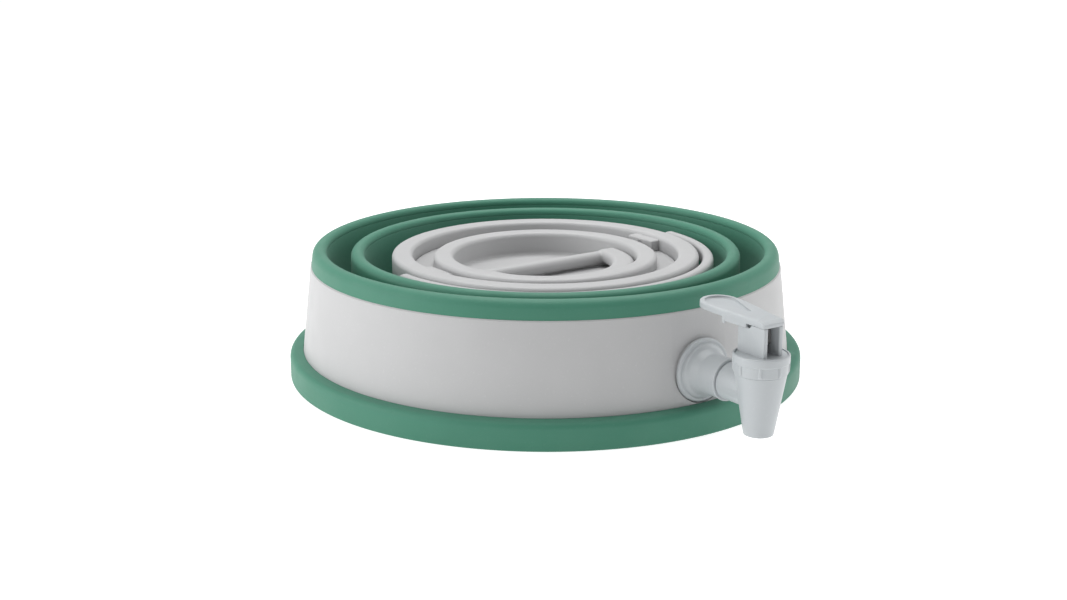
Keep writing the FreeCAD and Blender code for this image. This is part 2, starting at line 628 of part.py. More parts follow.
def make_bail():
    """Half-ring carrying handle with an eye at each end."""
    body = new_body("bail")
    section = beveled_section("bail_inner", "bail_outer", "pivot_height - bail_half_height",
                              "pivot_height + bail_half_height", "bail_bevel")
    turn_solid(body, "bail_hoop", section, angle="180", backwards=True)
    eye = new_sketch(body, "YZ_Plane", "eye_sketch", "bail_inner")
    draw_circle(eye, "0", "pivot_height", "bail_half_height")
    knob = push_sketch(body, eye, "bail_eye", "bail_outer - bail_inner")
    mirror_in_yz(body, [knob])
    bore = new_sketch(body, "YZ_Plane", "eye_bore_sketch")
    draw_circle(bore, "0", "pivot_height", "pin_radius + pin_play")
    push_sketch(body, bore, "eye_bore", "2 * bail_bore_end", cut=True, both=True)


# ---------------------------------------------------------------- lid, gasket and lid grip

def make_cap():
    """Screw lid: raised ring, round recess for the grip, and a skirt that enters the mouth."""
    body = new_body("cap")
    lid = turn_solid(body, "cap_turn", [
        ("0", "recess_floor - recess_plate"),
        ("0", "recess_floor"),
        ("recess_radius", "recess_floor"),
        ("recess_radius", "cap_top"),
        ("cap_radius", "cap_top"),
        ("cap_radius", "cap_foot"),
        ("cap_radius - cap_wall", "cap_foot"),
        ("cap_radius - cap_wall", "cap_groove_top"),
        ("cap_skirt_radius", "cap_groove_top"),
        ("cap_skirt_radius", "cap_skirt_foot"),
        ("cap_skirt_inner", "cap_skirt_foot"),
        ("cap_skirt_inner", "recess_floor - recess_plate"),
    ])
    round_rings(body, lid, [3, 4], "cap_round")
    round_rings(body, lid, [2], "recess_round")
    profile = lug_profile("cap_skirt_radius - bond_gap", "cap_skirt_radius + lug_reach",
                          "cap_lug_height")
    lug = turn_solid(body, "cap_lug", profile, angle="lug_arc")
    repeat_round(body, lug, "lug_count")
    bore = new_sketch(body, "YZ_Plane", "grip_pin_bore_sketch")
    draw_circle(bore, "0", "grip_axis_height", "grip_pin_radius + bond_gap / 2")
    push_sketch(body, bore, "grip_pin_bore", "2 * grip_pin_outer", cut=True, both=True)


def make_cap_gasket():
    """Silicone ring between the lid and the mouth."""
    turn_solid(new_body("cap_gasket"), "gasket_turn", [
        ("gasket_inner", "gasket_foot"),
        ("gasket_outer", "gasket_foot"),
        ("gasket_outer", "cap_groove_top - bond_gap"),
        ("gasket_inner", "cap_groove_top - bond_gap"),
    ])


def make_cap_grip():
    """D-shaped grip that folds into the lid's recess: straight bar, wide arc, two corner lugs."""
    body = new_body("cap_grip")
    section = beveled_section("grip_inner", "grip_outer", "grip_foot", "grip_top", "grip_bevel")
    turn_solid(body, "grip_arc", section, angle="180", backwards=True)
    corner = new_sketch(body, "YZ_Plane", "corner_sketch", "grip_inner")
    draw_outline(corner, [
        ("-grip_bevel", "grip_axis_height"),
        ("grip_lug_radius", "grip_axis_height"),
        ("grip_lug_radius", "grip_top - 2 * grip_bevel"),
        ("grip_lug_radius - 2 * grip_bevel", "grip_top"),
        ("-grip_bevel", "grip_top"),
    ])
    lug = push_sketch(body, corner, "grip_corner", "grip_outer - grip_inner - grip_bevel / 4")
    barrel = new_sketch(body, "YZ_Plane", "barrel_sketch", "grip_inner")
    draw_circle(barrel, "0", "grip_axis_height", "grip_lug_radius")
    barrel_pad = push_sketch(body, barrel, "grip_barrel",
                             "grip_outer - grip_inner - grip_bevel / 4")
    mirror_in_yz(body, [lug, barrel_pad])
    bar = new_sketch(body, "YZ_Plane", "bar_sketch")
    draw_circle(bar, "0", "grip_axis_height", "grip_bar_radius")
    push_sketch(body, bar, "grip_bar", "2 * grip_bar_end", both=True)
    bore = new_sketch(body, "YZ_Plane", "grip_bore_sketch", "grip_bore_inner")
    draw_circle(bore, "0", "grip_axis_height", "grip_pin_radius + pin_play")
    hole = push_sketch(body, bore, "grip_bore", "grip_outer", cut=True, backwards=True)
    mirror_in_yz(body, [hole])


def make_grip_pins():
    """The two short pins that the lid grip folds on, one solid each side."""
    for side, name in ((1, "right"), (-1, "left")):
        pin = doc.addObject("Part::Cylinder", "grip_pin_" + name)
        pin.setExpression("Radius", bound("grip_pin_radius"))
        pin.setExpression("Height", bound("grip_pin_outer - grip_pin_inner"))
        pin.Placement.Rotation = FreeCAD.Rotation(FreeCAD.Vector(0, 1, 0), 90 * side)
        pin.setExpression("Placement.Base.x", bound("%d * grip_pin_inner" % side))
        pin.setExpression("Placement.Base.z", bound("grip_axis_height"))
    pair = doc.addObject("Part::Compound", "grip_pins")
    pair.Links = [doc.getObject("grip_pin_right"), doc.getObject("grip_pin_left")]
    pair.Label = "grip_pins"
    parts.append(pair)


# ---------------------------------------------------------------- outlet through the wall

def make_outlet_socket():
    """Flanged socket: a threaded shank through the wall and a tube that takes the tap's neck."""
    body = new_body("outlet_socket")
    face = "spot_distance + gasket_thickness"
    socket = turn_solid(body, "socket_turn", [
        ("water_bore", "shank_end"),
        ("shank_radius", "shank_end"),
        ("shank_radius", face),
        ("flange_radius", face),
        ("flange_radius", face + " + flange_thickness - socket_round"),
        ("flange_radius - socket_round", face + " + flange_thickness"),
        ("step_radius", face + " + flange_thickness"),
        ("socket_radius", "step_end"),
        ("socket_radius", "socket_end"),
        ("socket_bore", "socket_end"),
        ("socket_bore", "socket_floor"),
        ("water_bore", "socket_floor"),
    ])
    round_rings(body, socket, [8], "socket_round")
    lay_along_outlet(body)


def make_washer(label, bore, radius, near, far):
    """Flat ring on the outlet's axis between two distances from the container's axis."""
    body = new_body(label)
    turn_solid(body, label + "_turn", [(bore, near), (radius, near), (radius, far), (bore, far)])
    lay_along_outlet(body)
    return body


def make_lock_nut():
    """Hexagonal nut that clamps the outlet from inside the cup."""
    body = new_body("outlet_lock_nut")
    blank = new_sketch(body, "XY_Plane", "nut_sketch",
                       "spot_inner - gasket_thickness - nut_thickness - bond_gap")
    corners = []
    for i in range(6):
        across = "nut_radius * %.6f" % math.cos(math.pi * i / 3)
        up = "nut_radius * %.6f" % math.sin(math.pi * i / 3)
        corners.append((across, "0" if i % 3 == 0 else up))
    draw_outline(blank, corners)
    draw_circle(blank, "0", "0", "shank_radius + bond_gap")
    push_sketch(body, blank, "nut_pad", "nut_thickness")
    lay_along_outlet(body)


# ---------------------------------------------------------------- tap

def make_tap_body():
    """Tapered upright body with a spout below, a valve chamber inside and a level neck."""
    body = new_body("tap_body")
    turn_solid(body, "tap_cone", [
        ("0", "nozzle_foot"),
        ("nozzle_radius", "nozzle_foot"),
        ("shoulder_radius", "shoulder_height"),
        ("thread_radius", "shoulder_height"),
        ("thread_radius", "body_top"),
        ("0", "body_top"),
    ])
    neck = new_sketch(body, "XZ_Plane", "tap_neck_sketch")
    draw_circle(neck, "0", "outlet_height", "neck_radius")
    push_sketch(body, neck, "tap_neck", "tap_reach - neck_end", backwards=True)
    collar = new_sketch(body, "XZ_Plane", "neck_collar_sketch")
    draw_circle(collar, "0", "outlet_height", "neck_collar_radius")
    push_sketch(body, collar, "neck_collar", "tap_reach - socket_end - neck_collar_gap",
                backwards=True)
    turn_solid(body, "tap_chamber", [
        ("0", "nozzle_foot"),
        ("nozzle_bore", "nozzle_foot"),
        ("nozzle_bore", "seat_height"),
        ("seat_radius", "seat_top"),
        ("chamber_radius", "chamber_foot"),
        ("chamber_radius", "body_top"),
        ("0", "body_top"),
    ], kind="PartDesign::Groove")
    way = new_sketch(body, "XZ_Plane", "water_way_sketch")
    draw_circle(way, "0", "outlet_height", "water_bore")
    push_sketch(body, way, "water_way", "tap_reach - neck_end", cut=True)
    seal = new_sketch(body, "XZ_Plane", "seal_groove_sketch", "neck_groove_from - tap_reach")
    draw_circle(seal, "0", "outlet_height", "neck_radius + 1")
    draw_circle(seal, "0", "outlet_height", "neck_groove")
    push_sketch(body, seal, "seal_groove", "neck_groove_to - neck_groove_from", cut=True,
                backwards=True)
    move_to_tap(body)


def make_bonnet_nut():
    """Ribbed ring nut on top of the tap's body, which holds the lever mount down."""
    body = new_body("bonnet_nut")
    nut = turn_solid(body, "bonnet_turn", [
        ("thread_radius + bond_gap", "shoulder_height + bond_gap"),
        ("bonnet_foot_radius", "shoulder_height + bond_gap"),
        ("bonnet_wall_radius", "bonnet_rim_foot - rib_reach"),
        ("bonnet_radius", "bonnet_rim_foot"),
        ("bonnet_radius", "bonnet_top"),
        ("bonnet_rim_inner", "bonnet_top"),
        ("bonnet_rim_inner", "bonnet_lip_top"),
        ("bonnet_mouth", "bonnet_lip_top"),
        ("bonnet_mouth", "bonnet_lip_top - bonnet_lip"),
        ("thread_radius + bond_gap", "bonnet_lip_top - bonnet_lip"),
    ])
    round_rings(body, nut, [4], "bonnet_round")
    rib = new_sketch(body, "XY_Plane", "rib_sketch", "rib_foot")
    draw_outline(rib, [
        ("bonnet_wall_radius - 2 * rib_reach", "-rib_half_width"),
        ("bonnet_wall_radius + rib_reach / 2", "-rib_half_width"),
        ("bonnet_wall_radius + rib_reach", "-rib_half_width / 2"),
        ("bonnet_wall_radius + rib_reach", "rib_half_width / 2"),
        ("bonnet_wall_radius + rib_reach / 2", "rib_half_width"),
        ("bonnet_wall_radius - 2 * rib_reach", "rib_half_width"),
    ])
    pad = push_sketch(body, rib, "rib", "rib_top - rib_foot")
    repeat_round(body, pad, "rib_count")
    move_to_tap(body)


def make_lever_mount():
    """Captive disc under the bonnet nut, with the slotted box that guides stem and lever."""
    body = new_body("lever_mount")
    turn_solid(body, "mount_disc", [
        ("0", "body_top + bond_gap"),
        ("disc_radius", "body_top + bond_gap"),
        ("disc_radius", "disc_top"),
        ("spigot_radius", "disc_top"),
        ("spigot_radius", "cover_foot"),
        ("cover_radius", "cover_foot"),
        ("cover_radius", "box_foot"),
        ("0", "box_foot"),
    ])
    box = new_sketch(body, "XY_Plane", "box_sketch", "box_foot")
    draw_outline(box, [
        ("-box_half_width", "-box_front"),
        ("box_half_width", "-box_front"),
        ("box_half_width", "box_back"),
        ("-box_half_width", "box_back"),
    ])
    push_sketch(body, box, "mount_box", "box_top - box_foot")
    slot = new_sketch(body, "XY_Plane", "slot_sketch", "box_top")
    draw_outline(slot, [
        ("-slot_half_width", "-box_front - 1"),
        ("slot_half_width", "-box_front - 1"),
        ("slot_half_width", "slot_back"),
        ("-slot_half_width", "slot_back"),
    ])
    push_sketch(body, slot, "mount_slot", "box_top - box_foot", cut=True)
    notch = new_sketch(body, "YZ_Plane", "notch_sketch")
    draw_circle(notch, "notch_back", "notch_height", "notch_radius")
    push_sketch(body, notch, "mount_notches", "4 * box_half_width", cut=True, both=True)
    bore = new_sketch(body, "XY_Plane", "stem_bore_sketch", "box_foot")
    draw_circle(bore, "0", "0", "stem_radius + pin_play")
    push_sketch(body, bore, "stem_bore", "box_foot - body_top", cut=True)
    seat = new_sketch(body, "XY_Plane", "seal_seat_sketch", "seal_top")
    draw_circle(seat, "0", "0", "seal_radius + bond_gap")
    push_sketch(body, seat, "seal_seat", "seal_top - body_top", cut=True)
    move_to_tap(body)


def make_stem_seal():
    """Silicone ring that seals the valve stem inside the lever mount."""
    body = new_body("stem_seal")
    turn_solid(body, "stem_seal_turn", [
        ("stem_radius + pin_play", "body_top + 2 * bond_gap"),
        ("seal_radius", "body_top + 2 * bond_gap"),
        ("seal_radius", "seal_top - bond_gap"),
        ("stem_radius + pin_play", "seal_top - bond_gap"),
    ])
    move_to_tap(body)


def make_valve_stem():
    """Valve stem: nose and shoulder below, a fork with two ears for the lever pin on top."""
    body = new_body("valve_stem")
    turn_solid(body, "stem_turn", [
        ("0", "stem_nose_foot"),
        ("stem_nose_radius", "stem_nose_foot"),
        ("stem_nose_radius", "stem_shoulder_foot"),
        ("stem_shoulder_radius", "stem_shoulder_foot"),
        ("stem_shoulder_radius", "stem_shoulder_top"),
        ("stem_radius", "stem_shoulder_top"),
        ("stem_radius", "fork_foot"),
        ("0", "fork_foot"),
    ])
    ears = new_sketch(body, "YZ_Plane", "ears_sketch")
    draw_outline(ears, [
        ("-fork_radius", "fork_foot"),
        ("fork_radius", "fork_foot"),
        ("fork_radius", "lever_pin_height"),
        ("-fork_radius", "lever_pin_height"),
    ])
    push_sketch(body, ears, "fork_block", "2 * fork_half_width", both=True)
    head = new_sketch(body, "YZ_Plane", "head_sketch")
    draw_circle(head, "0", "lever_pin_height", "fork_radius")
    push_sketch(body, head, "fork_head", "2 * fork_half_width", both=True)
    gap = new_sketch(body, "XZ_Plane", "gap_sketch")
    draw_outline(gap, [
        ("-fork_slot", "fork_slot_floor"),
        ("fork_slot", "fork_slot_floor"),
        ("fork_slot", "lever_foot"),
        ("-fork_slot", "lever_foot"),
    ])
    push_sketch(body, gap, "fork_gap", "4 * fork_radius", cut=True, both=True)
    bore = new_sketch(body, "YZ_Plane", "fork_bore_sketch")
    draw_circle(bore, "0", "lever_pin_height", "lever_pin_radius + bond_gap / 2")
    push_sketch(body, bore, "fork_bore", "3 * fork_half_width", cut=True, both=True)
    move_to_tap(body)


def make_seat_plug():
    """Silicone plug on the stem's nose, which closes the spout."""
    body = new_body("seat_plug")
    top = "stem_shoulder_foot - bond_gap"
    turn_solid(body, "plug_turn", [
        ("0", "plug_foot"),
        ("plug_nose_radius", "plug_foot"),
        ("plug_radius", "plug_cone_top"),
        ("plug_radius", top),
        ("stem_nose_radius + bond_gap", top),
        ("stem_nose_radius + bond_gap", "stem_nose_foot - bond_gap"),
        ("0", "stem_nose_foot - bond_gap"),
    ])
    move_to_tap(body)


def make_return_spring():
    """Coil spring between the stem's shoulder and the lever mount."""
    rise = size("spring_top") - size("spring_foot")
    helix = Part.makeHelix(rise / size("spring_turns"), rise, size("spring_radius"))
    start = FreeCAD.Vector(size("spring_radius"), 0, 0)
    section = Part.Wire([Part.makeCircle(size("spring_wire"), start, FreeCAD.Vector(0, 1, 0))])
    coil = Part.Wire(helix.Edges).makePipeShell([section], True, True)
    spring = doc.addObject("Part::Feature", "return_spring")
    spring.Shape = coil
    spring.Label = "return_spring"
    place = FreeCAD.Vector(0, -size("tap_reach"), size("spring_foot"))
    spring.Placement = FreeCAD.Placement(place, FreeCAD.Rotation())
    parts.append(spring)


def make_lever_pin():
    """Pin through the stem's fork, which the lever turns on."""
    pin = doc.addObject("Part::Cylinder", "lever_pin")
    pin.Label = "lever_pin"
    pin.setExpression("Radius", bound("lever_pin_radius"))
    pin.setExpression("Height", bound("2 * fork_half_width"))
    pin.Placement.Rotation = FreeCAD.Rotation(FreeCAD.Vector(0, 1, 0), 90)
    pin.setExpression("Placement.Base.x", bound("-fork_half_width"))
    pin.setExpression("Placement.Base.y", bound("-tap_reach"))
    pin.setExpression("Placement.Base.z", bound("lever_pin_height"))
    parts.append(pin)


def make_tap_lever():
    """Lever: paddle with a sunken teardrop, side skirts with a tab, and a lug on the pin."""
    body = new_body("tap_lever")
    plate = new_sketch(body, "XY_Plane", "plate_sketch", "lever_foot")
    draw_outline(plate, [
        ("-lever_half_width", "-lever_front"),
        ("lever_half_width", "-lever_front"),
        ("lever_skirt_outer", "lever_skirt_from"),
        ("lever_shoulder", "lever_straight"),
        ("pad_radius - bond_gap", "pad_distance"),
        ("bond_gap - pad_radius", "pad_distance"),
        ("-lever_shoulder", "lever_straight"),
        ("-lever_skirt_outer", "lever_skirt_from"),
    ])
    push_sketch(body, plate, "lever_plate", "lever_top - lever_foot")
    pad = new_sketch(body, "XY_Plane", "pad_sketch", "lever_foot")
    draw_circle(pad, "0", "pad_distance", "pad_radius")
    push_sketch(body, pad, "lever_pad", "lever_top - lever_foot")
    dish = new_sketch(body, "XY_Plane", "dish_sketch", "lever_top")
    draw_circle(dish, "0", "pad_distance", "pad_dish_radius")
    push_sketch(body, dish, "pad_dish", "pad_dish_depth", cut=True)
    tail = new_sketch(body, "XY_Plane", "dish_tail_sketch", "lever_top")
    draw_outline(tail, [
        ("-dish_point_width", "dish_point"),
        ("dish_point_width", "dish_point"),
        ("pad_dish_radius - bond_gap", "pad_distance"),
        ("bond_gap - pad_dish_radius", "pad_distance"),
    ])
    push_sketch(body, tail, "dish_tail", "pad_dish_depth", cut=True)
    skirt = new_sketch(body, "XY_Plane", "skirt_sketch", "lever_skirt_foot")
    draw_outline(skirt, [
        ("lever_skirt_outer - lever_skirt_wall", "lever_skirt_from"),
        ("lever_skirt_outer", "lever_skirt_from"),
        ("lever_shoulder", "lever_straight"),
        ("lever_skirt_end", "lever_skirt_to"),
        ("lever_skirt_end - lever_skirt_wall", "lever_skirt_to"),
        ("lever_shoulder - lever_skirt_wall", "lever_straight"),
    ])
    skirt_pad = push_sketch(body, skirt, "lever_skirt", "lever_foot - lever_skirt_foot + 1")
    tab = new_sketch(body, "XY_Plane", "tab_sketch", "lever_tab_foot")
    draw_outline(tab, [
        ("lever_skirt_end - lever_skirt_wall", "lever_skirt_to - lever_tab"),
        ("lever_skirt_end - lever_skirt_wall / 4", "lever_skirt_to - lever_tab"),
        ("lever_skirt_end - lever_skirt_wall / 4", "lever_skirt_to"),
        ("lever_skirt_end - lever_skirt_wall", "lever_skirt_to"),
    ])
    tab_pad = push_sketch(body, tab, "skirt_tab", "lever_foot - lever_tab_foot + 1")
    mirror_in_yz(body, [skirt_pad, tab_pad])
    hanger = new_sketch(body, "YZ_Plane", "hanger_sketch")
    draw_outline(hanger, [
        ("-lever_lug_radius", "lever_pin_height"),
        ("lever_lug_radius", "lever_pin_height"),
        ("lever_lug_radius", "lever_top - 1"),
        ("-lever_lug_radius", "lever_top - 1"),
    ])
    push_sketch(body, hanger, "lever_hanger", "2 * lever_lug", both=True)
    eye = new_sketch(body, "YZ_Plane", "lever_eye_sketch")
    draw_circle(eye, "0", "lever_pin_height", "lever_lug_radius")
    push_sketch(body, eye, "lever_eye", "2 * lever_lug", both=True)
    bore = new_sketch(body, "YZ_Plane", "lever_bore_sketch")
    draw_circle(bore, "0", "lever_pin_height", "lever_pin_radius + pin_play")
    push_sketch(body, bore, "lever_bore", "4 * lever_lug", cut=True, both=True)
    pin = FreeCAD.Vector(0, 0, size("lever_pin_height"))
    tilt = FreeCAD.Rotation(FreeCAD.Vector(1, 0, 0), size("lever_rise"))
    place = FreeCAD.Vector(0, -size("tap_reach"), 0)
    body.Placement = FreeCAD.Placement(place, tilt, pin)


# ---------------------------------------------------------------- build, check and write

def build_all():
    """Make every piece of the container, in the order in which it goes together."""
    make_base_cup()
    make_base_ring()
    make_outer_rim()
    make_web("lower_fold_web", "rim_inner_radius", "rim_lip_height", "lower_valley_radius",
             "middle_radius")
    make_middle_band()
    make_web("upper_fold_web", "middle_rim_inner", "middle_lip_height", "upper_valley_radius",
             "top_band_foot_radius")
    make_top_band()
    make_collar()
    make_neck_ring()
    make_bail_pins()
    make_bail()
    make_cap()
    make_cap_gasket()
    make_cap_grip()
    make_grip_pins()
    make_washer("outlet_outer_gasket", "shank_radius + bond_gap", "outer_gasket_radius",
                "spot_distance + bond_gap / 2", "spot_distance + gasket_thickness - bond_gap / 2")
    make_washer("outlet_inner_gasket", "shank_radius + bond_gap", "inner_gasket_radius",
                "spot_inner - gasket_thickness", "spot_inner - bond_gap / 2")
    make_lock_nut()
    make_outlet_socket()
    make_tap_body()
    make_washer("neck_seal", "neck_groove + bond_gap", "socket_bore - bond_gap / 2",
                "neck_groove_from + 2 * bond_gap", "neck_groove_to - 2 * bond_gap")
    make_bonnet_nut()
    make_lever_mount()
    make_stem_seal()
    make_return_spring()
    make_valve_stem()
    make_seat_plug()
    make_lever_pin()
    make_tap_lever()


def check_all():
    """Stop if a feature failed or a piece is not one sound closed solid (or a pair of them)."""
    for item in doc.Objects:
        if "Invalid" in item.State or "Error" in item.State:
            raise RuntimeError("%s failed: %s" % (item.Name, item.State))
    for piece in parts:
        shape = piece.Shape
        wanted = 2 if piece.Label in ("bail_pins", "grip_pins") else 1
        if shape.isNull() or not shape.isValid() or len(shape.Solids) != wanted:
            raise RuntimeError("%s is not a sound solid" % piece.Label)
        box = shape.BoundBox
        print("%-22s %9.0f mm3  x %7.1f %7.1f  y %7.1f %7.1f  z %6.1f %6.1f" % (
            piece.Label, shape.Volume, box.XMin, box.XMax, box.YMin, box.YMax, box.ZMin, box.ZMax))


def write_all():
    """Write each piece to its own STEP file."""
    os.makedirs(PARTS_FOLDER, exist_ok=True)
    for piece in parts:
        piece.Shape.exportStep(os.path.join(PARTS_FOLDER, piece.Label + ".step"))


build_all()
doc.recompute()
check_all()
write_all()
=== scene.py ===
import json
import math

import bmesh
import bpy
import numpy as np
from mathutils import Matrix, Vector


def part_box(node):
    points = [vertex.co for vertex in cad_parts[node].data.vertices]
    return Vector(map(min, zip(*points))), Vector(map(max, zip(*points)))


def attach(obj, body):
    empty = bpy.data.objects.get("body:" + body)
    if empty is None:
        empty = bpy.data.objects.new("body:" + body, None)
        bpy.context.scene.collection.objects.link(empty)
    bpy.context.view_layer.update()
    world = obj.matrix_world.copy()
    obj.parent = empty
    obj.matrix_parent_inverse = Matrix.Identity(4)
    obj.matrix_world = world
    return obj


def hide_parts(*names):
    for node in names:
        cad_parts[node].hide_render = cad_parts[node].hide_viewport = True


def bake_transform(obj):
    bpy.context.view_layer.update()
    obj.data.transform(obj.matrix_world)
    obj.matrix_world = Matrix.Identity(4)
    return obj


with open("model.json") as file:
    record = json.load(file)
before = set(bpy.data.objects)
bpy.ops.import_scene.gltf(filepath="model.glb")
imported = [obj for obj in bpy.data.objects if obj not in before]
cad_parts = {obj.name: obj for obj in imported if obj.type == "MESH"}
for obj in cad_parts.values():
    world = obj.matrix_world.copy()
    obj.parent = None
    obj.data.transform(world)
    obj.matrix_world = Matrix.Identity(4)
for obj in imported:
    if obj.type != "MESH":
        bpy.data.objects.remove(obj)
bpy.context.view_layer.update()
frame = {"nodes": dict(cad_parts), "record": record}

MM = 0.001
ROUND_STEPS = 6
SHARP_ANGLE = math.radians(32)
UP = Vector((0, 0, 1))
SKIN = 1.8 * MM
SEAM = 0.05 * MM
FOLD_GAP = 2.3 * MM
WEB_ROWS = 56
WALL = 2.5 * MM
FLOOR = 3.2 * MM
WALL_SLOPE = 0.114
RING_FALL = 0.6 * MM
COLLAR_WALL = 2.4 * MM
BAIL_ROUND = 2.2 * MM
RIDGE_HALF = 3.7
RIDGE_REACH = 0.6 * MM
DISH = 7.7 * MM
SPRING_STEPS = 32
SPRING_TURNS = 6
EYE_STEPS = 16
BAIL_STEPS = 144
SEAT_BACKING = 18.6 * MM
SEAT_PAD = 15.2 * MM
SEAT_RECESS = 16.3 * MM
OUTLET_HOLE = 8.4 * MM
GRIP_VOXEL = 0.42 * MM
FLOOR_HALF = 40.0
FLOOR_GLOW = 0.80
SKY_HORIZON = 1.0
SKY_ABOVE = 0.38
LEVER_RISE = math.radians(2.6)


# ---------------------------------------------------------------- sizes from the frame

def reach(node):
    """The largest distance of a round node from the container's axis."""
    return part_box(node)[1].x


def levels(node):
    """The lowest and highest point of a node."""
    low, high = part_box(node)
    return low.z, high.z


TAP_AXIS = (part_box("stem_seal")[0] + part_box("stem_seal")[1]) / 2
OUTLET_HEIGHT = (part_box("outlet_lock_nut")[0].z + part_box("outlet_lock_nut")[1].z) / 2


# ---------------------------------------------------------------- mesh tools

def mesh_object(name, points, faces):
    """A new mesh object from points and faces."""
    mesh = bpy.data.meshes.new(name)
    mesh.from_pydata([tuple(p) for p in points], [], faces)
    mesh.update()
    piece = bpy.data.objects.new(name, mesh)
    bpy.context.scene.collection.objects.link(piece)
    return piece


def tidy(piece, sharp=SHARP_ANGLE):
    """Merge doubled points, turn all faces outwards and shade smooth between sharp edges."""
    work = bmesh.new()
    work.from_mesh(piece.data)
    bmesh.ops.remove_doubles(work, verts=work.verts, dist=0.002 * MM)
    loose = [edge for edge in work.edges if not edge.link_faces]
    bmesh.ops.delete(work, geom=loose, context="EDGES")
    bmesh.ops.recalc_face_normals(work, faces=work.faces)
    work.to_mesh(piece.data)
    work.free()
    piece.data.shade_smooth()
    piece.data.set_sharp_from_angle(angle=sharp)
    return piece


def bake(piece):
    """Replace the piece's mesh with what its modifiers make of it."""
    graph = bpy.context.evaluated_depsgraph_get()
    mesh = bpy.data.meshes.new_from_object(piece.evaluated_get(graph))
    piece.modifiers.clear()
    piece.data = mesh
    return piece


def combine(piece, tool, operation):
    """Join a tool to a piece, or cut it away, and drop the tool; done in millimetres."""
    for item in (piece, tool):
        item.data.transform(Matrix.Scale(1 / MM, 4))
    modifier = piece.modifiers.new("combine", "BOOLEAN")
    modifier.operation = operation
    modifier.solver = "MANIFOLD"
    modifier.object = tool
    bpy.context.view_layer.update()
    bake(piece)
    piece.data.transform(Matrix.Scale(MM, 4))
    bpy.data.objects.remove(tool)
    return piece


def rounded(corners, steps=ROUND_STEPS):
    """Closed outline through corners given as (across, up, rounding), with arcs for corners."""
    outline = []
    count = len(corners)
    for index, (across, up, rounding) in enumerate(corners):
        here = Vector((across, up))
        if rounding <= 0:
            outline.append(here)
            continue
        before = (Vector(corners[index - 1][:2]) - here).normalized()
        after = (Vector(corners[(index + 1) % count][:2]) - here).normalized()
        half = before.angle(after) / 2
        centre = here + (before + after).normalized() * (rounding / math.sin(half))
        first = here + before * (rounding / math.tan(half)) - centre
        last = here + after * (rounding / math.tan(half)) - centre
        sweep = first.angle_signed(last)
        for step in range(steps + 1):
            turned = first.copy()
            turned.rotate(Matrix.Rotation(-sweep * step / steps, 2))
            outline.append(centre + turned)
    return outline


def lathe(name, outline, segments=288, turn=360.0, start=0.0):
    """Turn a closed outline of (radius, height) about the Z axis, all round or part of the way."""
    whole = turn >= 360.0
    stations = segments if whole else segments + 1
    count = len(outline)
    points = []
    for station in range(stations):
        angle = math.radians(start + turn * station / segments)
        for point in outline:
            points.append((point[0] * math.cos(angle), point[0] * math.sin(angle), point[1]))
    faces = []
    for station in range(segments):
        near = station * count
        far = ((station + 1) % stations) * count
        for index in range(count):
            after = (index + 1) % count
            faces.append((near + index, far + index, far + after, near + after))
    if not whole:
        faces.append(tuple(range(count)))
        faces.append(tuple(range((stations - 1) * count, stations * count))[::-1])
    return tidy(mesh_object(name, points, faces))


def along_outlet(piece):
    """Lay a piece that was made about the Z axis along the outlet's axis, pointing along -Y."""
    turn = Matrix.Rotation(math.radians(90), 4, "X")
    piece.data.transform(Matrix.Translation((0, 0, OUTLET_HEIGHT)) @ turn)
    return piece


def onto_tap(piece):
    """Move a piece that was made about the Z axis to the tap's upright axis."""
    piece.data.transform(Matrix.Translation((TAP_AXIS.x, TAP_AXIS.y, 0)))
    return piece


def inset(outline, distance):
    """An anticlockwise outline moved inwards by a distance."""
    moved = []
    count = len(outline)
    for index, point in enumerate(outline):
        before = (point - outline[index - 1]).normalized()
        after = (outline[(index + 1) % count] - point).normalized()
        bend = Vector((-before.y - after.y, before.x + after.x)) / (1 + before.dot(after))
        moved.append(point + bend * distance)
    return moved


def slab(name, outline, low, high, round_low=0.0, round_high=0.0, steps=5):
    """An upright solid on an anticlockwise outline, with its lower and upper edges rounded."""
    quarter = [math.pi / 2 * step / steps for step in range(steps + 1)]
    levels_in = [(0.0, low)] if not round_low else [
        (round_low * (1 - math.sin(a)), low + round_low * (1 - math.cos(a))) for a in quarter]
    levels_in += [(0.0, high)] if not round_high else [
        (round_high * (1 - math.cos(a)), high - round_high * (1 - math.sin(a))) for a in quarter]
    count = len(outline)
    points, faces = [], []
    for distance, height in levels_in:
        points += [(p.x, p.y, height) for p in inset(outline, distance)]
    for ring in range(len(levels_in) - 1):
        near, far = ring * count, (ring + 1) * count
        for index in range(count):
            after = (index + 1) % count
            faces.append((near + index, near + after, far + after, far + index))
    faces.append(tuple(range(count))[::-1])
    faces.append(tuple(range(len(points) - count, len(points))))
    return tidy(mesh_object(name, points, faces))


def disc_outline(radius, near, far):
    """Outline of a plain disc or pin between two places along its axis."""
    return [Vector((0, near)), Vector((radius, near)), Vector((radius, far)), Vector((0, far))]


def box_outline(left, right, front, back, rounding):
    """Anticlockwise rectangle with rounded corners."""
    return rounded([(left, front, rounding), (right, front, rounding),
                    (right, back, rounding), (left, back, rounding)])


def lying(piece, back, height):
    """Lay a piece that was made about the Z axis along the X axis, at a depth and height."""
    turn = Matrix.Rotation(math.radians(90), 4, "Y")
    piece.data.transform(Matrix.Translation((0, back, height)) @ turn)
    return piece


def upright(piece):
    """Stand a slab up: its outline goes into the YZ plane and its thickness along X."""
    turn = Matrix(((0, 0, 1, 0), (1, 0, 0, 0), (0, 1, 0, 0), (0, 0, 0, 1)))
    piece.data.transform(turn)
    return piece


# ---------------------------------------------------------------- materials

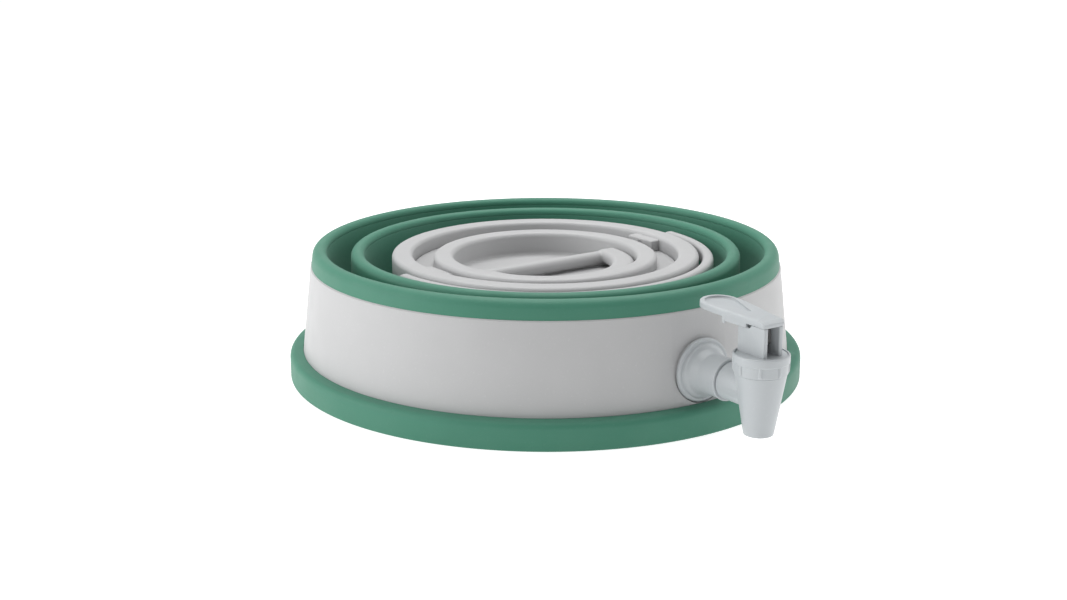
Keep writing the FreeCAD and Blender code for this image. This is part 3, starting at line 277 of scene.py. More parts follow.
def new_material(name):
    """An empty material: its node tree and its Principled shader."""
    material = bpy.data.materials.new(name)
    material.use_nodes = True
    shader = material.node_tree.nodes["Principled BSDF"]
    return material, material.node_tree, shader


def noise(tree, coords, scale, detail=3.0, roughness=0.55):
    """A noise texture over the object's own coordinates."""
    node = tree.nodes.new("ShaderNodeTexNoise")
    node.inputs["Scale"].default_value = scale
    node.inputs["Detail"].default_value = detail
    node.inputs["Roughness"].default_value = roughness
    tree.links.new(coords.outputs["Object"], node.inputs["Vector"])
    return node.outputs["Fac"]


def remap(tree, value, low, high, new_low, new_high):
    """A value moved from one range to another."""
    node = tree.nodes.new("ShaderNodeMapRange")
    for socket, number in zip(node.inputs[1:5], (low, high, new_low, new_high)):
        socket.default_value = number
    tree.links.new(value, node.inputs[0])
    return node.outputs[0]


def blend_colors(tree, factor, first, second):
    """A mix of two colours, or of a colour socket and a colour."""
    node = tree.nodes.new("ShaderNodeMix")
    node.data_type = "RGBA"
    tree.links.new(factor, node.inputs["Factor"])
    for socket, color in ((node.inputs[6], first), (node.inputs[7], second)):
        if isinstance(color, tuple):
            socket.default_value = color + (1.0,)
        else:
            tree.links.new(color, socket)
    return node.outputs[2]


def bumps(tree, shader, layers):
    """A chain of bump nodes, one for each (height socket, strength, distance)."""
    last = None
    for height, strength, distance in layers:
        node = tree.nodes.new("ShaderNodeBump")
        node.inputs["Strength"].default_value = strength
        node.inputs["Distance"].default_value = distance
        tree.links.new(height, node.inputs["Height"])
        if last:
            tree.links.new(last, node.inputs["Normal"])
        last = node.outputs["Normal"]
    tree.links.new(last, shader.inputs["Normal"])


def moulded(name, light, dark, edge, gloss, grain, sheen=0.0, soft=0.0):
    """Moulded plastic or silicone: mottled colour, paler worn edges, fine grain and slow waves."""
    material, tree, shader = new_material(name)
    coords = tree.nodes.new("ShaderNodeTexCoord")
    mottle = remap(tree, noise(tree, coords, 22.0, 4.0), 0.35, 0.65, 0.0, 1.0)
    speck = remap(tree, noise(tree, coords, 900.0, 2.0), 0.62, 0.78, 0.0, 0.35)
    color = blend_colors(tree, mottle, light, dark)
    color = blend_colors(tree, speck, color, edge)
    geometry = tree.nodes.new("ShaderNodeNewGeometry")
    worn = remap(tree, geometry.outputs["Pointiness"], 0.52, 0.62, 0.0, 0.45)
    color = blend_colors(tree, worn, color, edge)
    tree.links.new(color, shader.inputs["Base Color"])
    rub = noise(tree, coords, 60.0, 5.0)
    tree.links.new(remap(tree, rub, 0.3, 0.7, gloss - 0.06, gloss + 0.06),
                   shader.inputs["Roughness"])
    bumps(tree, shader, [
        (noise(tree, coords, 14.0, 2.0), 0.10, 1.2 * MM),
        (noise(tree, coords, grain, 3.0, 0.6), 0.16, 0.10 * MM),
    ])
    shader.inputs["IOR"].default_value = 1.46
    shader.inputs["Sheen Weight"].default_value = sheen
    shader.inputs["Sheen Roughness"].default_value = 0.45
    shader.inputs["Subsurface Weight"].default_value = soft
    shader.inputs["Subsurface Radius"].default_value = (1.2, 1.0, 0.9)
    shader.inputs["Subsurface Scale"].default_value = 1.5 * MM
    return material


def steel(name):
    """Drawn steel wire and pins with fine lengthwise streaks."""
    material, tree, shader = new_material(name)
    coords = tree.nodes.new("ShaderNodeTexCoord")
    streak = noise(tree, coords, 1400.0, 4.0)
    color = blend_colors(tree, streak, (0.56, 0.56, 0.57), (0.72, 0.72, 0.73))
    tree.links.new(color, shader.inputs["Base Color"])
    tree.links.new(remap(tree, streak, 0.3, 0.7, 0.2, 0.34), shader.inputs["Roughness"])
    bumps(tree, shader, [(streak, 0.1, 0.02 * MM)])
    shader.inputs["Metallic"].default_value = 1.0
    return material


GREY = moulded("grey_shell", (0.430, 0.432, 0.436), (0.414, 0.416, 0.420), (0.54, 0.54, 0.54),
               0.50, 1500.0)
GREEN = moulded("green_silicone", (0.043, 0.188, 0.124), (0.039, 0.176, 0.115),
                (0.075, 0.235, 0.165), 0.62, 1100.0, sheen=0.08)
TAP = moulded("tap_plastic", (0.430, 0.455, 0.470), (0.415, 0.440, 0.456), (0.53, 0.55, 0.56),
              0.36, 2200.0)
# Dark stem material: painted shade for the shaded inside of the lever mount's slot.
STEM_PAINTED_SHADE = moulded("stem_painted_shade", (0.120, 0.120, 0.118), (0.105, 0.105, 0.104), (0.17, 0.17, 0.17),
               0.45, 1800.0)
SEAL = moulded("seal_silicone", (0.70, 0.71, 0.70), (0.66, 0.67, 0.66), (0.78, 0.78, 0.78),
               0.50, 1300.0, sheen=0.1)
STEEL = steel("drawn_steel")
MATERIALS = {
    "grey_shell": GREY,
    "green_silicone": GREEN,
    "tap_plastic": TAP,
    "seal_silicone": SEAL,
    "steel": STEEL,
}


def dress(piece, slot_name):
    """Give a piece the material of one of the record's slots."""
    piece.data.materials.clear()
    piece.data.materials.append(MATERIALS[slot_name])


def place(piece, body, slot_name, *nodes):
    """A finished piece: its material, the body it rides on and the CAD nodes it stands for."""
    tidy(piece)
    dress(piece, slot_name)
    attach(piece, body)
    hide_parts(*nodes)
    return piece


def dress_frame_nodes():
    """Each CAD node gets its slot's material; the stem gets a dark material, painted shade
    standing in for the shade inside the lever mount's slot.
    """
    for entry in frame["record"]["subparts"]:
        node = frame["nodes"][entry["node"]]
        dress(node, entry["material_slot"])
    # The stem takes the dark painted-shade material.
    frame["nodes"]["valve_stem"].data.materials[0] = STEM_PAINTED_SHADE


# ---------------------------------------------------------------- base: cup, ring, rim, lower web

def make_foot_ring():
    """Soft ring round the foot of the cup."""
    foot, top = levels("base_ring")
    outer = reach("base_ring")
    inner = reach("base_cup") + SEAM
    ring = lathe("foot_ring", rounded([
        (inner, foot, 0.2 * MM),
        (outer, foot, 0.9 * MM),
        (outer, top - RING_FALL, 3.2 * MM),
        (inner - WALL_SLOPE * (top - foot), top, 0.3 * MM),
    ], 8))
    place(ring, "base", "green_silicone", "base_ring")


def wall_radius(height):
    """Outer radius of the cup's tapered wall at a height."""
    return reach("base_cup") - WALL_SLOPE * height


def make_cup():
    """Stiff cup with a flat seat for the outlet."""
    top = levels("base_cup")[1]
    foot_radius = wall_radius(0)
    floor_edge = wall_radius(FLOOR) - WALL
    cup = lathe("cup", [Vector((0, 0))] + rounded([
        (foot_radius, 0, 0.5 * MM),
        (wall_radius(top) + 0.6 * MM * WALL_SLOPE, top - 0.6 * MM, 0),
        (wall_radius(top) - 0.6 * MM, top, 0),
        (wall_radius(top) - WALL, top, 0.3 * MM),
        (floor_edge, FLOOR, 3.0 * MM),
        (floor_edge - 8 * MM, FLOOR, 0),
        (0, FLOOR, 0),
        (0, 0, 0),
    ])[:-1])
    seat = -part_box("outlet_outer_gasket")[1].y
    inside = -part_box("outlet_inner_gasket")[0].y
    backing = along_outlet(lathe("backing", disc_outline(SEAT_BACKING, inside, seat + WALL), 96))
    hull = lathe("hull", [Vector((0, 0)), Vector((foot_radius - 0.4 * MM, 0)),
                          Vector((wall_radius(top) - 0.4 * MM, top)), Vector((0, top))])
    combine(backing, hull, "INTERSECT")
    combine(cup, backing, "UNION")
    flat = along_outlet(lathe("flat", disc_outline(SEAT_PAD, inside + 1 * MM, seat + MM), 96))
    combine(cup, flat, "UNION")
    recess = along_outlet(lathe("recess", disc_outline(SEAT_RECESS, seat, seat + 9 * MM), 96))
    combine(cup, recess, "DIFFERENCE")
    bore = disc_outline(OUTLET_HOLE, inside - 5 * MM, seat + 9 * MM)
    hole = along_outlet(lathe("hole", bore, 64))
    combine(cup, hole, "DIFFERENCE")
    place(cup, "base", "grey_shell", "base_cup")


def make_outer_rim():
    """Thick soft rim with a tongue down the inside of the wall."""
    foot, crest = levels("outer_rim")
    outer = reach("outer_rim")
    inner = reach("lower_fold_web") - SKIN
    wall_top = levels("base_cup")[1] + SEAM
    face = wall_radius(wall_top) - WALL - SEAM
    tongue = face + WALL_SLOPE * (wall_top - foot)
    rim = lathe("outer_rim_ring", rounded([
        (outer, wall_top, 0),
        (outer - 1.0 * MM, crest, 4.4 * MM),
        (inner, crest, 2.9 * MM),
        (inner, levels("lower_fold_web")[1] + SEAM, 0.2 * MM),
        (inner + SKIN, levels("lower_fold_web")[1] + SEAM, 0),
        (face - 3.2 * MM, wall_top, 0),
        (tongue - 3.2 * MM, foot, 0.5 * MM),
        (tongue, foot, 0.5 * MM),
        (face, wall_top, 0),
    ], 8))
    place(rim, "base", "green_silicone", "outer_rim")


def make_web(name, node, start, end_radius):
    """Thin web from a rim down to a bend and up to the next band."""
    valley, top = levels(node)
    bend = valley + 1.9 * MM
    foot = end_radius - SKIN
    reach_in = end_radius + FOLD_GAP
    across = Vector((reach_in - start, bend - top)) / WEB_ROWS
    inner = [Vector((start, top)) + across * row for row in range(WEB_ROWS + 1)]
    outer = [point + Vector((SKIN, 0)) for point in inner]
    centre = (reach_in + SKIN + foot) / 2
    half = (reach_in + SKIN - foot) / 2
    under = [Vector((centre + half * math.cos(a), bend - (bend - valley) * math.sin(a)))
             for a in (math.pi * step / 12 for step in range(1, 12))]
    heel = [Vector((foot, bend - 0.3 * MM)), Vector((end_radius, bend - 0.3 * MM)),
            Vector(((end_radius + reach_in) / 2, bend - 0.6 * MM))]
    web = lathe(name, outer + under + heel + inner[::-1][:-1] + [inner[0]])
    dress(web, "green_silicone")
    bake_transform(web)
    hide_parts(node)


# ---------------------------------------------------------------- middle tier, top band and collar

def make_middle_band():
    """Middle tier with the second rim."""
    foot, crest = levels("middle_band")
    outer = reach("middle_band")
    inner = reach("upper_fold_web") - SKIN
    lip = levels("upper_fold_web")[1] + SEAM
    band = lathe("middle_tier", rounded([
        (outer - SKIN, foot, 0.4 * MM),
        (outer, foot, 0.4 * MM),
        (outer, crest, 3.6 * MM),
        (inner, crest, 2.9 * MM),
        (inner, lip, 0.2 * MM),
        (inner + SKIN, lip, 0),
        (outer - 1.6 * SKIN, lip - 6 * MM, 1.5 * MM),
    ], 8))
    place(band, "middle", "green_silicone", "middle_band")


def make_top_band():
    """Soft band that hangs from inside the collar's skirt."""
    foot, top = levels("top_band")
    outer = reach("top_band")
    seam = levels("collar")[0] - SEAM
    skirt = reach("collar") - COLLAR_WALL - SEAM
    band = lathe("top_tier", rounded([
        (outer - SKIN, foot, 0.4 * MM),
        (outer, foot, 0.4 * MM),
        (reach("collar"), seam, 0.3 * MM),
        (skirt, seam, 0),
        (skirt, top, 0.3 * MM),
        (skirt - SKIN, top, 0.3 * MM),
        (skirt - SKIN, seam - 2 * SKIN, 0),
    ]))
    place(band, "top", "green_silicone", "top_band")


def make_collar():
    """Stiff top ring with the two bosses that hold the bail's pins."""
    foot, top = levels("collar")
    outer = reach("collar")
    inner = reach("neck_ring") - COLLAR_WALL + SEAM
    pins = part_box("bail_pins")
    pivot = (pins[0].z + pins[1].z) / 2
    collar = lathe("collar_ring", rounded([
        (outer, foot, 0.4 * MM),
        (outer, top, 2.4 * MM),
        (inner, top, 2.2 * MM),
        (inner, foot + 7.3 * MM, 0.2 * MM),
        (inner + COLLAR_WALL, foot + 7.3 * MM, 0.2 * MM),
        (inner + COLLAR_WALL, top - COLLAR_WALL, 0),
        (outer - COLLAR_WALL, top - COLLAR_WALL, 0),
        (outer - COLLAR_WALL, foot, 0.3 * MM),
    ], 8))
    for side in (1, -1):
        near, far = sorted((side * (inner - 6.2 * MM), side * (inner + 0.9 * MM)))
        boss = slab("boss", box_outline(near, far, -10.5 * MM, 10.5 * MM, 0.8 * MM),
                    pivot - 2.8 * MM, pivot + 3.2 * MM, 0, 0.9 * MM)
        combine(collar, boss, "UNION")
    hole = lying(lathe("hole", disc_outline(2.03 * MM, -outer - MM, outer + MM), 48), 0, pivot)
    combine(collar, hole, "DIFFERENCE")
    place(collar, "top", "grey_shell", "collar")


def make_bail():
    """Half-ring handle with a soft-cornered section and a rounded eye at each end."""
    low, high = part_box("bail")
    outer = high.x
    inner = outer - 6.0 * MM
    pivot = (low.z + high.z) / 2
    eye = (high.z - low.z) / 2
    quarter = [math.pi / 2 * step / EYE_STEPS for step in range(EYE_STEPS + 1)]
    curve = [(eye * math.cos(a), eye * math.sin(a)) for a in quarter]
    path = [(0.0, along, tall) for along, tall in curve]
    path += [(180.0 * step / BAIL_STEPS, 0.0, eye) for step in range(1, BAIL_STEPS)]
    path += [(180.0, along, tall) for along, tall in reversed(curve)]
    points, faces = [], []
    for turn, along, tall in path:
        tall = max(tall, 0.25 * MM)
        soft = min(BAIL_ROUND, tall * 0.9)
        pinch = 0.9 * MM * max(0.0, 1 - tall / BAIL_ROUND) ** 2
        section = rounded([
            (inner + pinch, pivot - tall, soft), (outer - pinch, pivot - tall, soft),
            (outer - pinch, pivot + tall, soft), (inner + pinch, pivot + tall, soft)], 6)
        angle = math.radians(-turn)
        for radius, height in section:
            points.append((radius * math.cos(angle), radius * math.sin(angle) + along, height))
    count = len(points) // len(path)
    for station in range(len(path) - 1):
        for index in range(count):
            after = (index + 1) % count
            near, far = station * count, (station + 1) * count
            faces.append((near + index, far + index, far + after, near + after))
    faces.append(tuple(range(count)))
    faces.append(tuple(range(len(points) - count, len(points)))[::-1])
    bail = tidy(mesh_object("bail_handle", points, faces))
    end = outer - 1.5 * MM
    hole = lying(lathe("hole", disc_outline(2.05 * MM, -end, end), 48), 0, pivot)
    combine(bail, hole, "DIFFERENCE")
    place(bail, "bail", "grey_shell", "bail")


# ---------------------------------------------------------------- lid and its grip

def make_lid():
    """Screw lid: raised soft-edged ring, round recess, skirt with four thread lugs."""
    foot, top = levels("cap")
    outer = reach("cap")
    floor = top - 12.5 * MM
    recess = 50.0 * MM
    skirt = 56.0 * MM
    thin = 53.6 * MM
    groove = levels("cap_gasket")[1] + SEAM
    lid = lathe("lid", [Vector((0, floor))] + rounded([
        (0, floor, 0),
        (recess, floor, 1.6 * MM),
        (recess, top, 2.6 * MM),
        (outer, top, 2.6 * MM),
        (outer, top - 6.4 * MM, 0.4 * MM),
        (outer - 1.7 * MM, top - 6.4 * MM, 0.3 * MM),
        (outer - 1.7 * MM, groove, 0),
        (skirt, groove, 0),
        (skirt, foot, 0.5 * MM),
        (thin, foot, 0.5 * MM),
        (thin, floor - 2.4 * MM, 1.0 * MM),
        (0, floor - 2.4 * MM, 0),
    ], 8)[1:])
    for quarter in range(4):
        lug = lathe("lug", [Vector(point) * MM for point in (
            (55.9, 45.2), (56.3, 45.6), (56.3, 46.4), (55.9, 46.8))], 32, 48.0, 90.0 * quarter)
        combine(lid, lug, "UNION")
    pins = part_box("grip_pins")
    axis = (pins[0].z + pins[1].z) / 2
    hole = lying(lathe("hole", disc_outline(1.53 * MM, pins[0].x, pins[1].x), 32), 0, axis)
    combine(lid, hole, "DIFFERENCE")
    place(lid, "lid", "grey_shell", "cap")


def make_grip():
    """Fold-down grip: straight round bar, thick soft arc and two bulging corner lugs."""
    low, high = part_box("cap_grip")
    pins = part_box("grip_pins")
    axis = (pins[0].z + pins[1].z) / 2
    outer = -low.y
    inner = outer - 12.5 * MM
    grip = lathe("grip", rounded([
        (inner, high.z - 7.4 * MM, 3.0 * MM), (outer, high.z - 7.4 * MM, 3.0 * MM),
        (outer, high.z, 3.0 * MM), (inner, high.z, 3.0 * MM)], 8), 96, 183.0, 178.5)
    bar = lying(lathe("bar", disc_outline(3.9 * MM, -inner - 4 * MM, inner + 4 * MM), 64), 0, axis)
    combine(grip, bar, "UNION")
    for side in (1, -1):
        length = [side * (inner + 0.3 * MM), side * (high.x - 0.2 * MM)]
        ball = [Vector((4.25 * MM * math.sin(a) ** 0.55,
                        length[0] + (length[1] - length[0]) * (1 - math.cos(a)) / 2))
                for a in (math.pi * step / 24 for step in range(25))]
        lug = lying(lathe("lug", ball if side > 0 else ball[::-1], 64), 0, axis)
        combine(grip, lug, "UNION")
    remesh = grip.modifiers.new("remesh", "REMESH")
    remesh.mode = "VOXEL"
    remesh.voxel_size = GRIP_VOXEL
    smooth = grip.modifiers.new("smooth", "SMOOTH")
    smooth.factor = 0.5
    smooth.iterations = 9
    bpy.context.view_layer.update()
    bake(grip)
    for side in (1, -1):
        near, far = sorted((side * 44.8 * MM, side * (outer + MM)))
        hole = lying(lathe("hole", disc_outline(1.55 * MM, near, far), 32), 0, axis)
        combine(grip, hole, "DIFFERENCE")
    place(grip, "grip", "grey_shell", "cap_grip")


# ---------------------------------------------------------------- outlet and tap

def make_socket():
    """Flange, raised step, concave fairing, tube with an end bead, and the shank inside."""
    low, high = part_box("outlet_socket")
    end, shank = -low.y, -high.y
    face = end - 20.6 * MM
    radius = high.x
    socket = along_outlet(lathe("socket", rounded([
        (5.2 * MM, shank, 0.3 * MM),
        (8.2 * MM, shank, 0.6 * MM),
        (8.2 * MM, face, 0),
        (radius, face, 0.5 * MM),
        (radius, face + 2.6 * MM, 1.1 * MM),
        (13.9 * MM, face + 2.2 * MM, 0.4 * MM),
        (13.2 * MM, face + 3.4 * MM, 0.6 * MM),
        (11.6 * MM, face + 4.3 * MM, 1.6 * MM),
        (10.1 * MM, face + 8.6 * MM, 3.0 * MM),
        (9.95 * MM, end - 1.5 * MM, 0),
        (10.4 * MM, end - 1.2 * MM, 0.2 * MM),
        (10.4 * MM, end, 0.45 * MM),
        (7.6 * MM, end, 0.3 * MM),
        (7.6 * MM, end - 13.7 * MM, 0),
        (5.2 * MM, end - 13.7 * MM, 0),
    ], 8), 160))
    place(socket, "base", "tap_plastic", "outlet_socket")


def make_tap():
    """Tapered body with the spout, valve chamber and level neck."""
    low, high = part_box("tap_body")
    foot, top = low.z, high.z
    shoulder = top - 6.1 * MM
    neck_end = -high.y
    axis = -TAP_AXIS.y
    socket_end = -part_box("outlet_socket")[0].y
    body = onto_tap(lathe("tap", [Vector((0, foot))] + rounded([
        (0, foot, 0),
        (7.1 * MM, foot, 0.6 * MM),
        (12.3 * MM, shoulder, 0.3 * MM),
        (11.3 * MM, shoulder, 0),
        (11.3 * MM, top, 0.4 * MM),
        (0, top, 0),
    ])[1:], 192))
    neck = along_outlet(lathe("neck", [Vector((0, neck_end))] + rounded([
        (0, neck_end, 0),
        (7.45 * MM, neck_end, 0.5 * MM),
        (7.45 * MM, neck_end + 6.0 * MM, 0),
        (6.2 * MM, neck_end + 6.0 * MM, 0),
        (6.2 * MM, neck_end + 8.4 * MM, 0),
        (7.45 * MM, neck_end + 8.4 * MM, 0),
        (7.45 * MM, socket_end + 0.2 * MM, 0),
        (9.2 * MM, socket_end + 0.2 * MM, 0.3 * MM),
        (9.2 * MM, axis + 3 * MM, 0),
        (0, axis + 3 * MM, 0),
    ])[1:], 128))
    combine(body, neck, "UNION")
    chamber = onto_tap(lathe("chamber", [Vector(point) * MM for point in (
        (0, 9.0), (5.9, 9.0), (5.9, 9.7), (5.5, 10.2), (5.5, 24.3), (6.9, 25.6), (9.0, 33.0),
        (9.0, 47.0), (0, 47.0))], 128))
    combine(body, chamber, "DIFFERENCE")
    way = along_outlet(lathe("way", disc_outline(5.2 * MM, neck_end - MM, axis + 2 * MM), 64))
    combine(body, way, "DIFFERENCE")
    place(body, "base", "tap_plastic", "tap_body")


def make_bonnet():
    """Ring nut with eight slim ridges under a raised rim."""
    foot, top = levels("bonnet_nut")
    outline = rounded([
        (11.35 * MM, foot, 0.2 * MM),
        (12.65 * MM, foot, 0.35 * MM),
        (12.75 * MM, top - 4.3 * MM, 0),
        (13.4 * MM, top - 3.7 * MM, 0.15 * MM),
        (13.4 * MM, top, 0.8 * MM),
        (12.3 * MM, top, 0.3 * MM),
        (12.3 * MM, top - 1.2 * MM, 0.1 * MM),
        (10.5 * MM, top - 1.2 * MM, 0.2 * MM),
        (10.5 * MM, top - 2.4 * MM, 0.2 * MM),
        (11.35 * MM, top - 2.4 * MM, 0),
    ])
    fill = []
    for index, point in enumerate(outline):
        after = outline[(index + 1) % len(outline)]
        parts = 8 if (after - point).length > 3 * MM else 1
        fill += [point + (after - point) * part / parts for part in range(parts)]
    nut = lathe("bonnet", fill, 384)
    for vertex in nut.data.vertices:
        across = math.hypot(vertex.co.x, vertex.co.y)
        if across < 12.4 * MM or vertex.co.z > top - 3.9 * MM:
            continue
        turn = math.degrees(math.atan2(vertex.co.y, vertex.co.x))
        away = abs((turn + 22.5) % 45.0 - 22.5)
        ridge = max(0.0, 1.0 - (away / RIDGE_HALF) ** 4) if away < RIDGE_HALF else 0.0
        ridge *= min(1.0, max(0.0, (vertex.co.z - foot - 0.3 * MM) / (0.8 * MM)))
        grown = 1 + RIDGE_REACH * ridge / across
        vertex.co.x *= grown
        vertex.co.y *= grown
    place(onto_tap(nut), "base", "tap_plastic", "bonnet_nut")


def make_lever_mount():
    """Captive disc and upright slotted box with a round notch in each side."""
    foot, top = levels("lever_mount")
    box = top - 13.9 * MM
    mount = lathe("lever_mount_disc", rounded([
        (3.65 * MM, foot, 0.1 * MM),
        (11.1 * MM, foot, 0.2 * MM),
        (11.1 * MM, foot + 0.85 * MM, 0.2 * MM),
        (10.3 * MM, foot + 0.85 * MM, 0),
        (10.3 * MM, box - 0.7 * MM, 0),
        (12.1 * MM, box - 0.7 * MM, 0.15 * MM),
        (12.1 * MM, box, 0.35 * MM),
        (2.45 * MM, box, 0.15 * MM),
        (2.45 * MM, box - 1.2 * MM, 0),
        (3.65 * MM, box - 1.2 * MM, 0),
    ]), 128)
    wide, slot, front, back = 5.8 * MM, 3.5 * MM, -7.7 * MM, 10.6 * MM
    walls = slab("walls", rounded([
        (-wide, front, 0.6 * MM), (-slot, front, 0.6 * MM),
        (-slot, 8.4 * MM, 0.6 * MM), (slot, 8.4 * MM, 0.6 * MM),
        (slot, front, 0.6 * MM), (wide, front, 0.6 * MM),
        (wide, back, 1.0 * MM), (-wide, back, 1.0 * MM)], 6),
        box - 0.3 * MM, top, 0, 0.3 * MM)
    combine(mount, walls, "UNION")
    notch = lying(lathe("notch", disc_outline(1.4 * MM, -2 * wide, 2 * wide), 48),
                  2.9 * MM, top - 0.1 * MM)
    combine(mount, notch, "DIFFERENCE")
    place(onto_tap(mount), "lever_mount", "tap_plastic", "lever_mount")


def make_spring():
    """Coil spring round the stem."""
    low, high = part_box("return_spring")
    wire = 0.4 * MM
    radius = (high.y - low.y) / 2 - wire
    foot, top = low.z + wire, high.z - wire
    around, along = 10, SPRING_TURNS * SPRING_STEPS
    points, faces = [], []
    for step in range(along + 1):
        angle = 2 * math.pi * step / SPRING_STEPS
        out = Vector((math.cos(angle), math.sin(angle), 0))
        centre = out * radius + UP * (foot + (top - foot) * step / along)
        for side in range(around):
            turn = 2 * math.pi * side / around
            points.append(centre + (out * math.cos(turn) + UP * math.sin(turn)) * wire)
    for step in range(along):
        for side in range(around):
            after = (side + 1) % around
            near, far = step * around, (step + 1) * around
            faces.append((near + side, far + side, far + after, near + after))
    faces.append(tuple(range(around)))
    faces.append(tuple(range(along * around, (along + 1) * around))[::-1])
    spring = onto_tap(tidy(mesh_object("coil_spring", points, faces)))
    dress(spring, "steel")
    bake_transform(spring)
    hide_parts("return_spring")


def make_lever():
    """Paddle with a sunken teardrop, side skirts with a tab, and the lug on its pin."""
    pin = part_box("lever_pin")
    height = (pin[0].z + pin[1].z) / 2
    foot, top = height + 3.9 * MM, height + 7.2 * MM
    half = np.polyfit((-7.8, 3.0, 12.0, 20.0, 29.2), (6.6, 7.3, 8.75, 9.6, 9.9), 3)
    pad = Vector((0, 29.2 * MM))
    radius = 9.9 * MM
    side = [Vector((float(np.polyval(half, back)) * MM, back * MM))
            for back in np.linspace(-5.2, 28.0, 30)]
    tip = [pad + Vector((math.cos(a), math.sin(a))) * radius
           for a in np.linspace(0, math.pi, 49)]
    front = rounded([(-6.62 * MM, -7.8 * MM, 1.5 * MM), (6.62 * MM, -7.8 * MM, 1.5 * MM),
                     (6.7 * MM, -5.0 * MM, 0), (-6.7 * MM, -5.0 * MM, 0)], 6)[:-2]
    outline = front + side + tip + [Vector((-p.x, p.y)) for p in reversed(side)]
    lever = slab("lever_paddle", outline, foot, top, 0.5 * MM, 0.9 * MM, 6)
    nose = rounded([(-7.9 * MM, foot - MM, 0), (45 * MM, foot - MM, 0), (45 * MM, top + MM, 0),
                    (1 * MM, top + 0.01 * MM, 0), (-5.2 * MM, top - 0.25 * MM, 3.0 * MM),
                    (-7.9 * MM, foot + 1.9 * MM, 0.8 * MM)])
    combine(lever, upright(slab("nose", nose, -12 * MM, 12 * MM)), "INTERSECT")
    drop = [pad + Vector((math.cos(a), math.sin(a))) * DISH
            for a in np.linspace(math.radians(-18), math.radians(198), 61)]
    drop += [Vector((across * MM, back * MM)) for across, back in (
        (-1.5, 10.4), (-1.15, 9.5), (-0.6, 8.9), (0, 8.7), (0.6, 8.9), (1.15, 9.5), (1.5, 10.4))]
    dish = slab("dish", drop, top - 1.15 * MM, top + MM, 0.8 * MM, 0, 6)
    combine(lever, dish, "DIFFERENCE")
    for way in (1, -1):
        backs = np.linspace(3.6, 17.8, 12)
        outer = [Vector((way * (float(np.polyval(half, b)) - 0.1) * MM, b * MM)) for b in backs]
        inner = [p - Vector((way * 1.15 * MM, 0)) for p in outer]
        strip = outer + inner[::-1] if way > 0 else inner + outer[::-1]
        combine(lever, slab("skirt", strip, height + 2.0 * MM, foot + 1.2 * MM, 0.25 * MM, 0),
                "UNION")
        near, far = sorted((way * 8.4 * MM, way * 9.3 * MM))
        tab = slab("tab", box_outline(near, far, 15.9 * MM, 17.75 * MM, 0.3 * MM),
                   height + 0.95 * MM, foot + MM, 0.3 * MM, 0)
        combine(lever, tab, "UNION")
    lug = [Vector((2.3 * MM * math.cos(a), height + 2.3 * MM * math.sin(a)))
           for a in np.linspace(-math.pi, 0, 25)]
    lug += [Vector((2.3 * MM, foot + 0.8 * MM)), Vector((-2.3 * MM, foot + 0.8 * MM))]
    combine(lever, upright(slab("lug", lug, -1.4 * MM, 1.4 * MM, 0.2 * MM, 0.2 * MM)), "UNION")
    hole = lying(lathe("hole", disc_outline(1.03 * MM, -3 * MM, 3 * MM), 32), 0, height)
    combine(lever, hole, "DIFFERENCE")
    lift = Matrix.Translation((0, 0, height)) @ Matrix.Rotation(LEVER_RISE, 4, "X")
    lever.data.transform(lift @ Matrix.Translation((0, 0, -height)))
    place(onto_tap(lever), "lever", "tap_plastic", "tap_lever")


# ---------------------------------------------------------------- camera, lights and floor

PHOTO_AZIMUTH = -35.0
PHOTO_ELEVATION = 15.04
PHOTO_DISTANCE = 0.8485
PHOTO_TARGET = Vector((-0.0053, 0.0037, 0.0366))
PHOTO_LENS = 51.9


def direction(azimuth, elevation):
    """Unit vector from the object towards a viewer at an azimuth and elevation in degrees."""
    a = math.radians(azimuth)
    e = math.radians(elevation)
    return Vector((math.sin(a) * math.cos(e), -math.cos(a) * math.cos(e), math.sin(e)))


def add_camera():
    """The camera at the photograph's angle; its distance and target are in metres."""
    camera = bpy.data.objects.new("camera", bpy.data.cameras.new("camera"))
    bpy.context.scene.collection.objects.link(camera)
    away = direction(PHOTO_AZIMUTH, PHOTO_ELEVATION)
    camera.location = PHOTO_TARGET + away * PHOTO_DISTANCE
    camera.rotation_euler = (-away).to_track_quat("-Z", "Y").to_euler()
    camera.data.lens = PHOTO_LENS
    camera.data.sensor_width = 36.0
    bpy.context.scene.camera = camera


def add_panel(name, azimuth, elevation, distance, size, power):
    """A square soft light that faces the object."""
    lamp = bpy.data.lights.new(name, "AREA")
    lamp.shape = "RECTANGLE"
    lamp.size, lamp.size_y = size
    lamp.energy = power
    panel = bpy.data.objects.new(name, lamp)
    bpy.context.scene.collection.objects.link(panel)
    away = direction(azimuth, elevation)
    panel.location = away * distance
    panel.rotation_euler = (-away).to_track_quat("-Z", "Y").to_euler()


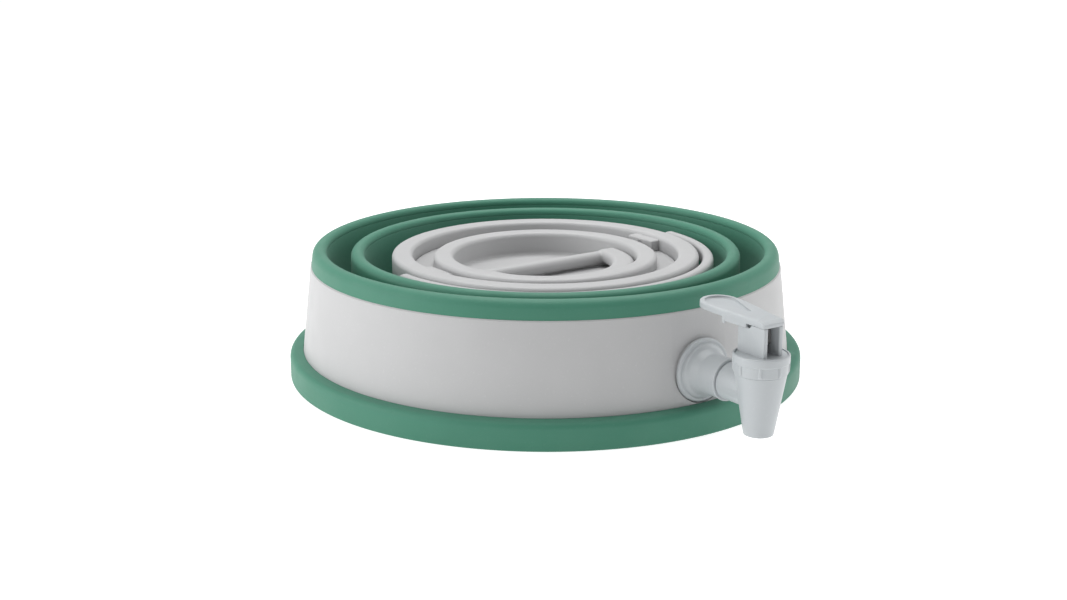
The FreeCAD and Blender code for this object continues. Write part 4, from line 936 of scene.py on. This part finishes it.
def add_studio():
    """Pale floor, white surroundings that are brightest at the horizon, and soft panels."""
    scene = bpy.context.scene
    scene.view_settings.view_transform = "Standard"
    world = bpy.data.worlds.new("studio")
    world.use_nodes = True
    background = world.node_tree.nodes["Background"]
    background.inputs["Color"].default_value = (1.0, 1.0, 1.0, 1.0)
    coords = world.node_tree.nodes.new("ShaderNodeTexCoord")
    split = world.node_tree.nodes.new("ShaderNodeSeparateXYZ")
    world.node_tree.links.new(coords.outputs["Generated"], split.inputs[0])
    dimmed = remap(world.node_tree, split.outputs["Z"], 0.10, 0.22, SKY_HORIZON, SKY_ABOVE)
    world.node_tree.links.new(dimmed, background.inputs["Strength"])
    scene.world = world
    add_panel("left_panel", PHOTO_AZIMUTH - 80, 22, 1.3, (0.9, 0.9), 10.0)
    add_panel("right_panel", PHOTO_AZIMUTH + 95, 20, 1.3, (0.7, 0.9), 3.8)
    add_panel("top_panel", PHOTO_AZIMUTH + 180, 72, 1.4, (1.2, 1.2), 19.0)
    half = FLOOR_HALF
    floor = mesh_object("floor", [(-half, -half, 0), (half, -half, 0), (half, half, 0),
                                  (-half, half, 0)], [(0, 1, 2, 3)])
    material, tree, shader = new_material("floor_white")
    coords = tree.nodes.new("ShaderNodeTexCoord")
    fine = noise(tree, coords, 40.0)
    tree.links.new(blend_colors(tree, fine, (0.50, 0.50, 0.50), (0.52, 0.52, 0.52)),
                   shader.inputs["Base Color"])
    shader.inputs["Roughness"].default_value = 0.9
    shader.inputs["Emission Color"].default_value = (1.0, 1.0, 1.0, 1.0)
    shader.inputs["Emission Strength"].default_value = FLOOR_GLOW
    floor.data.materials.append(material)
    floor.location.z = -0.02 * MM


add_camera()
add_studio()
dress_frame_nodes()
make_foot_ring()
make_cup()
make_outer_rim()
make_web("lower_web", "lower_fold_web", reach("lower_fold_web") - SKIN, reach("middle_band"))
make_middle_band()
make_web("upper_web", "upper_fold_web", reach("upper_fold_web") - SKIN, reach("top_band"))
make_top_band()
make_collar()
make_bail()
make_lid()
make_grip()
make_socket()
make_tap()
make_bonnet()
make_lever_mount()
make_spring()
make_lever()
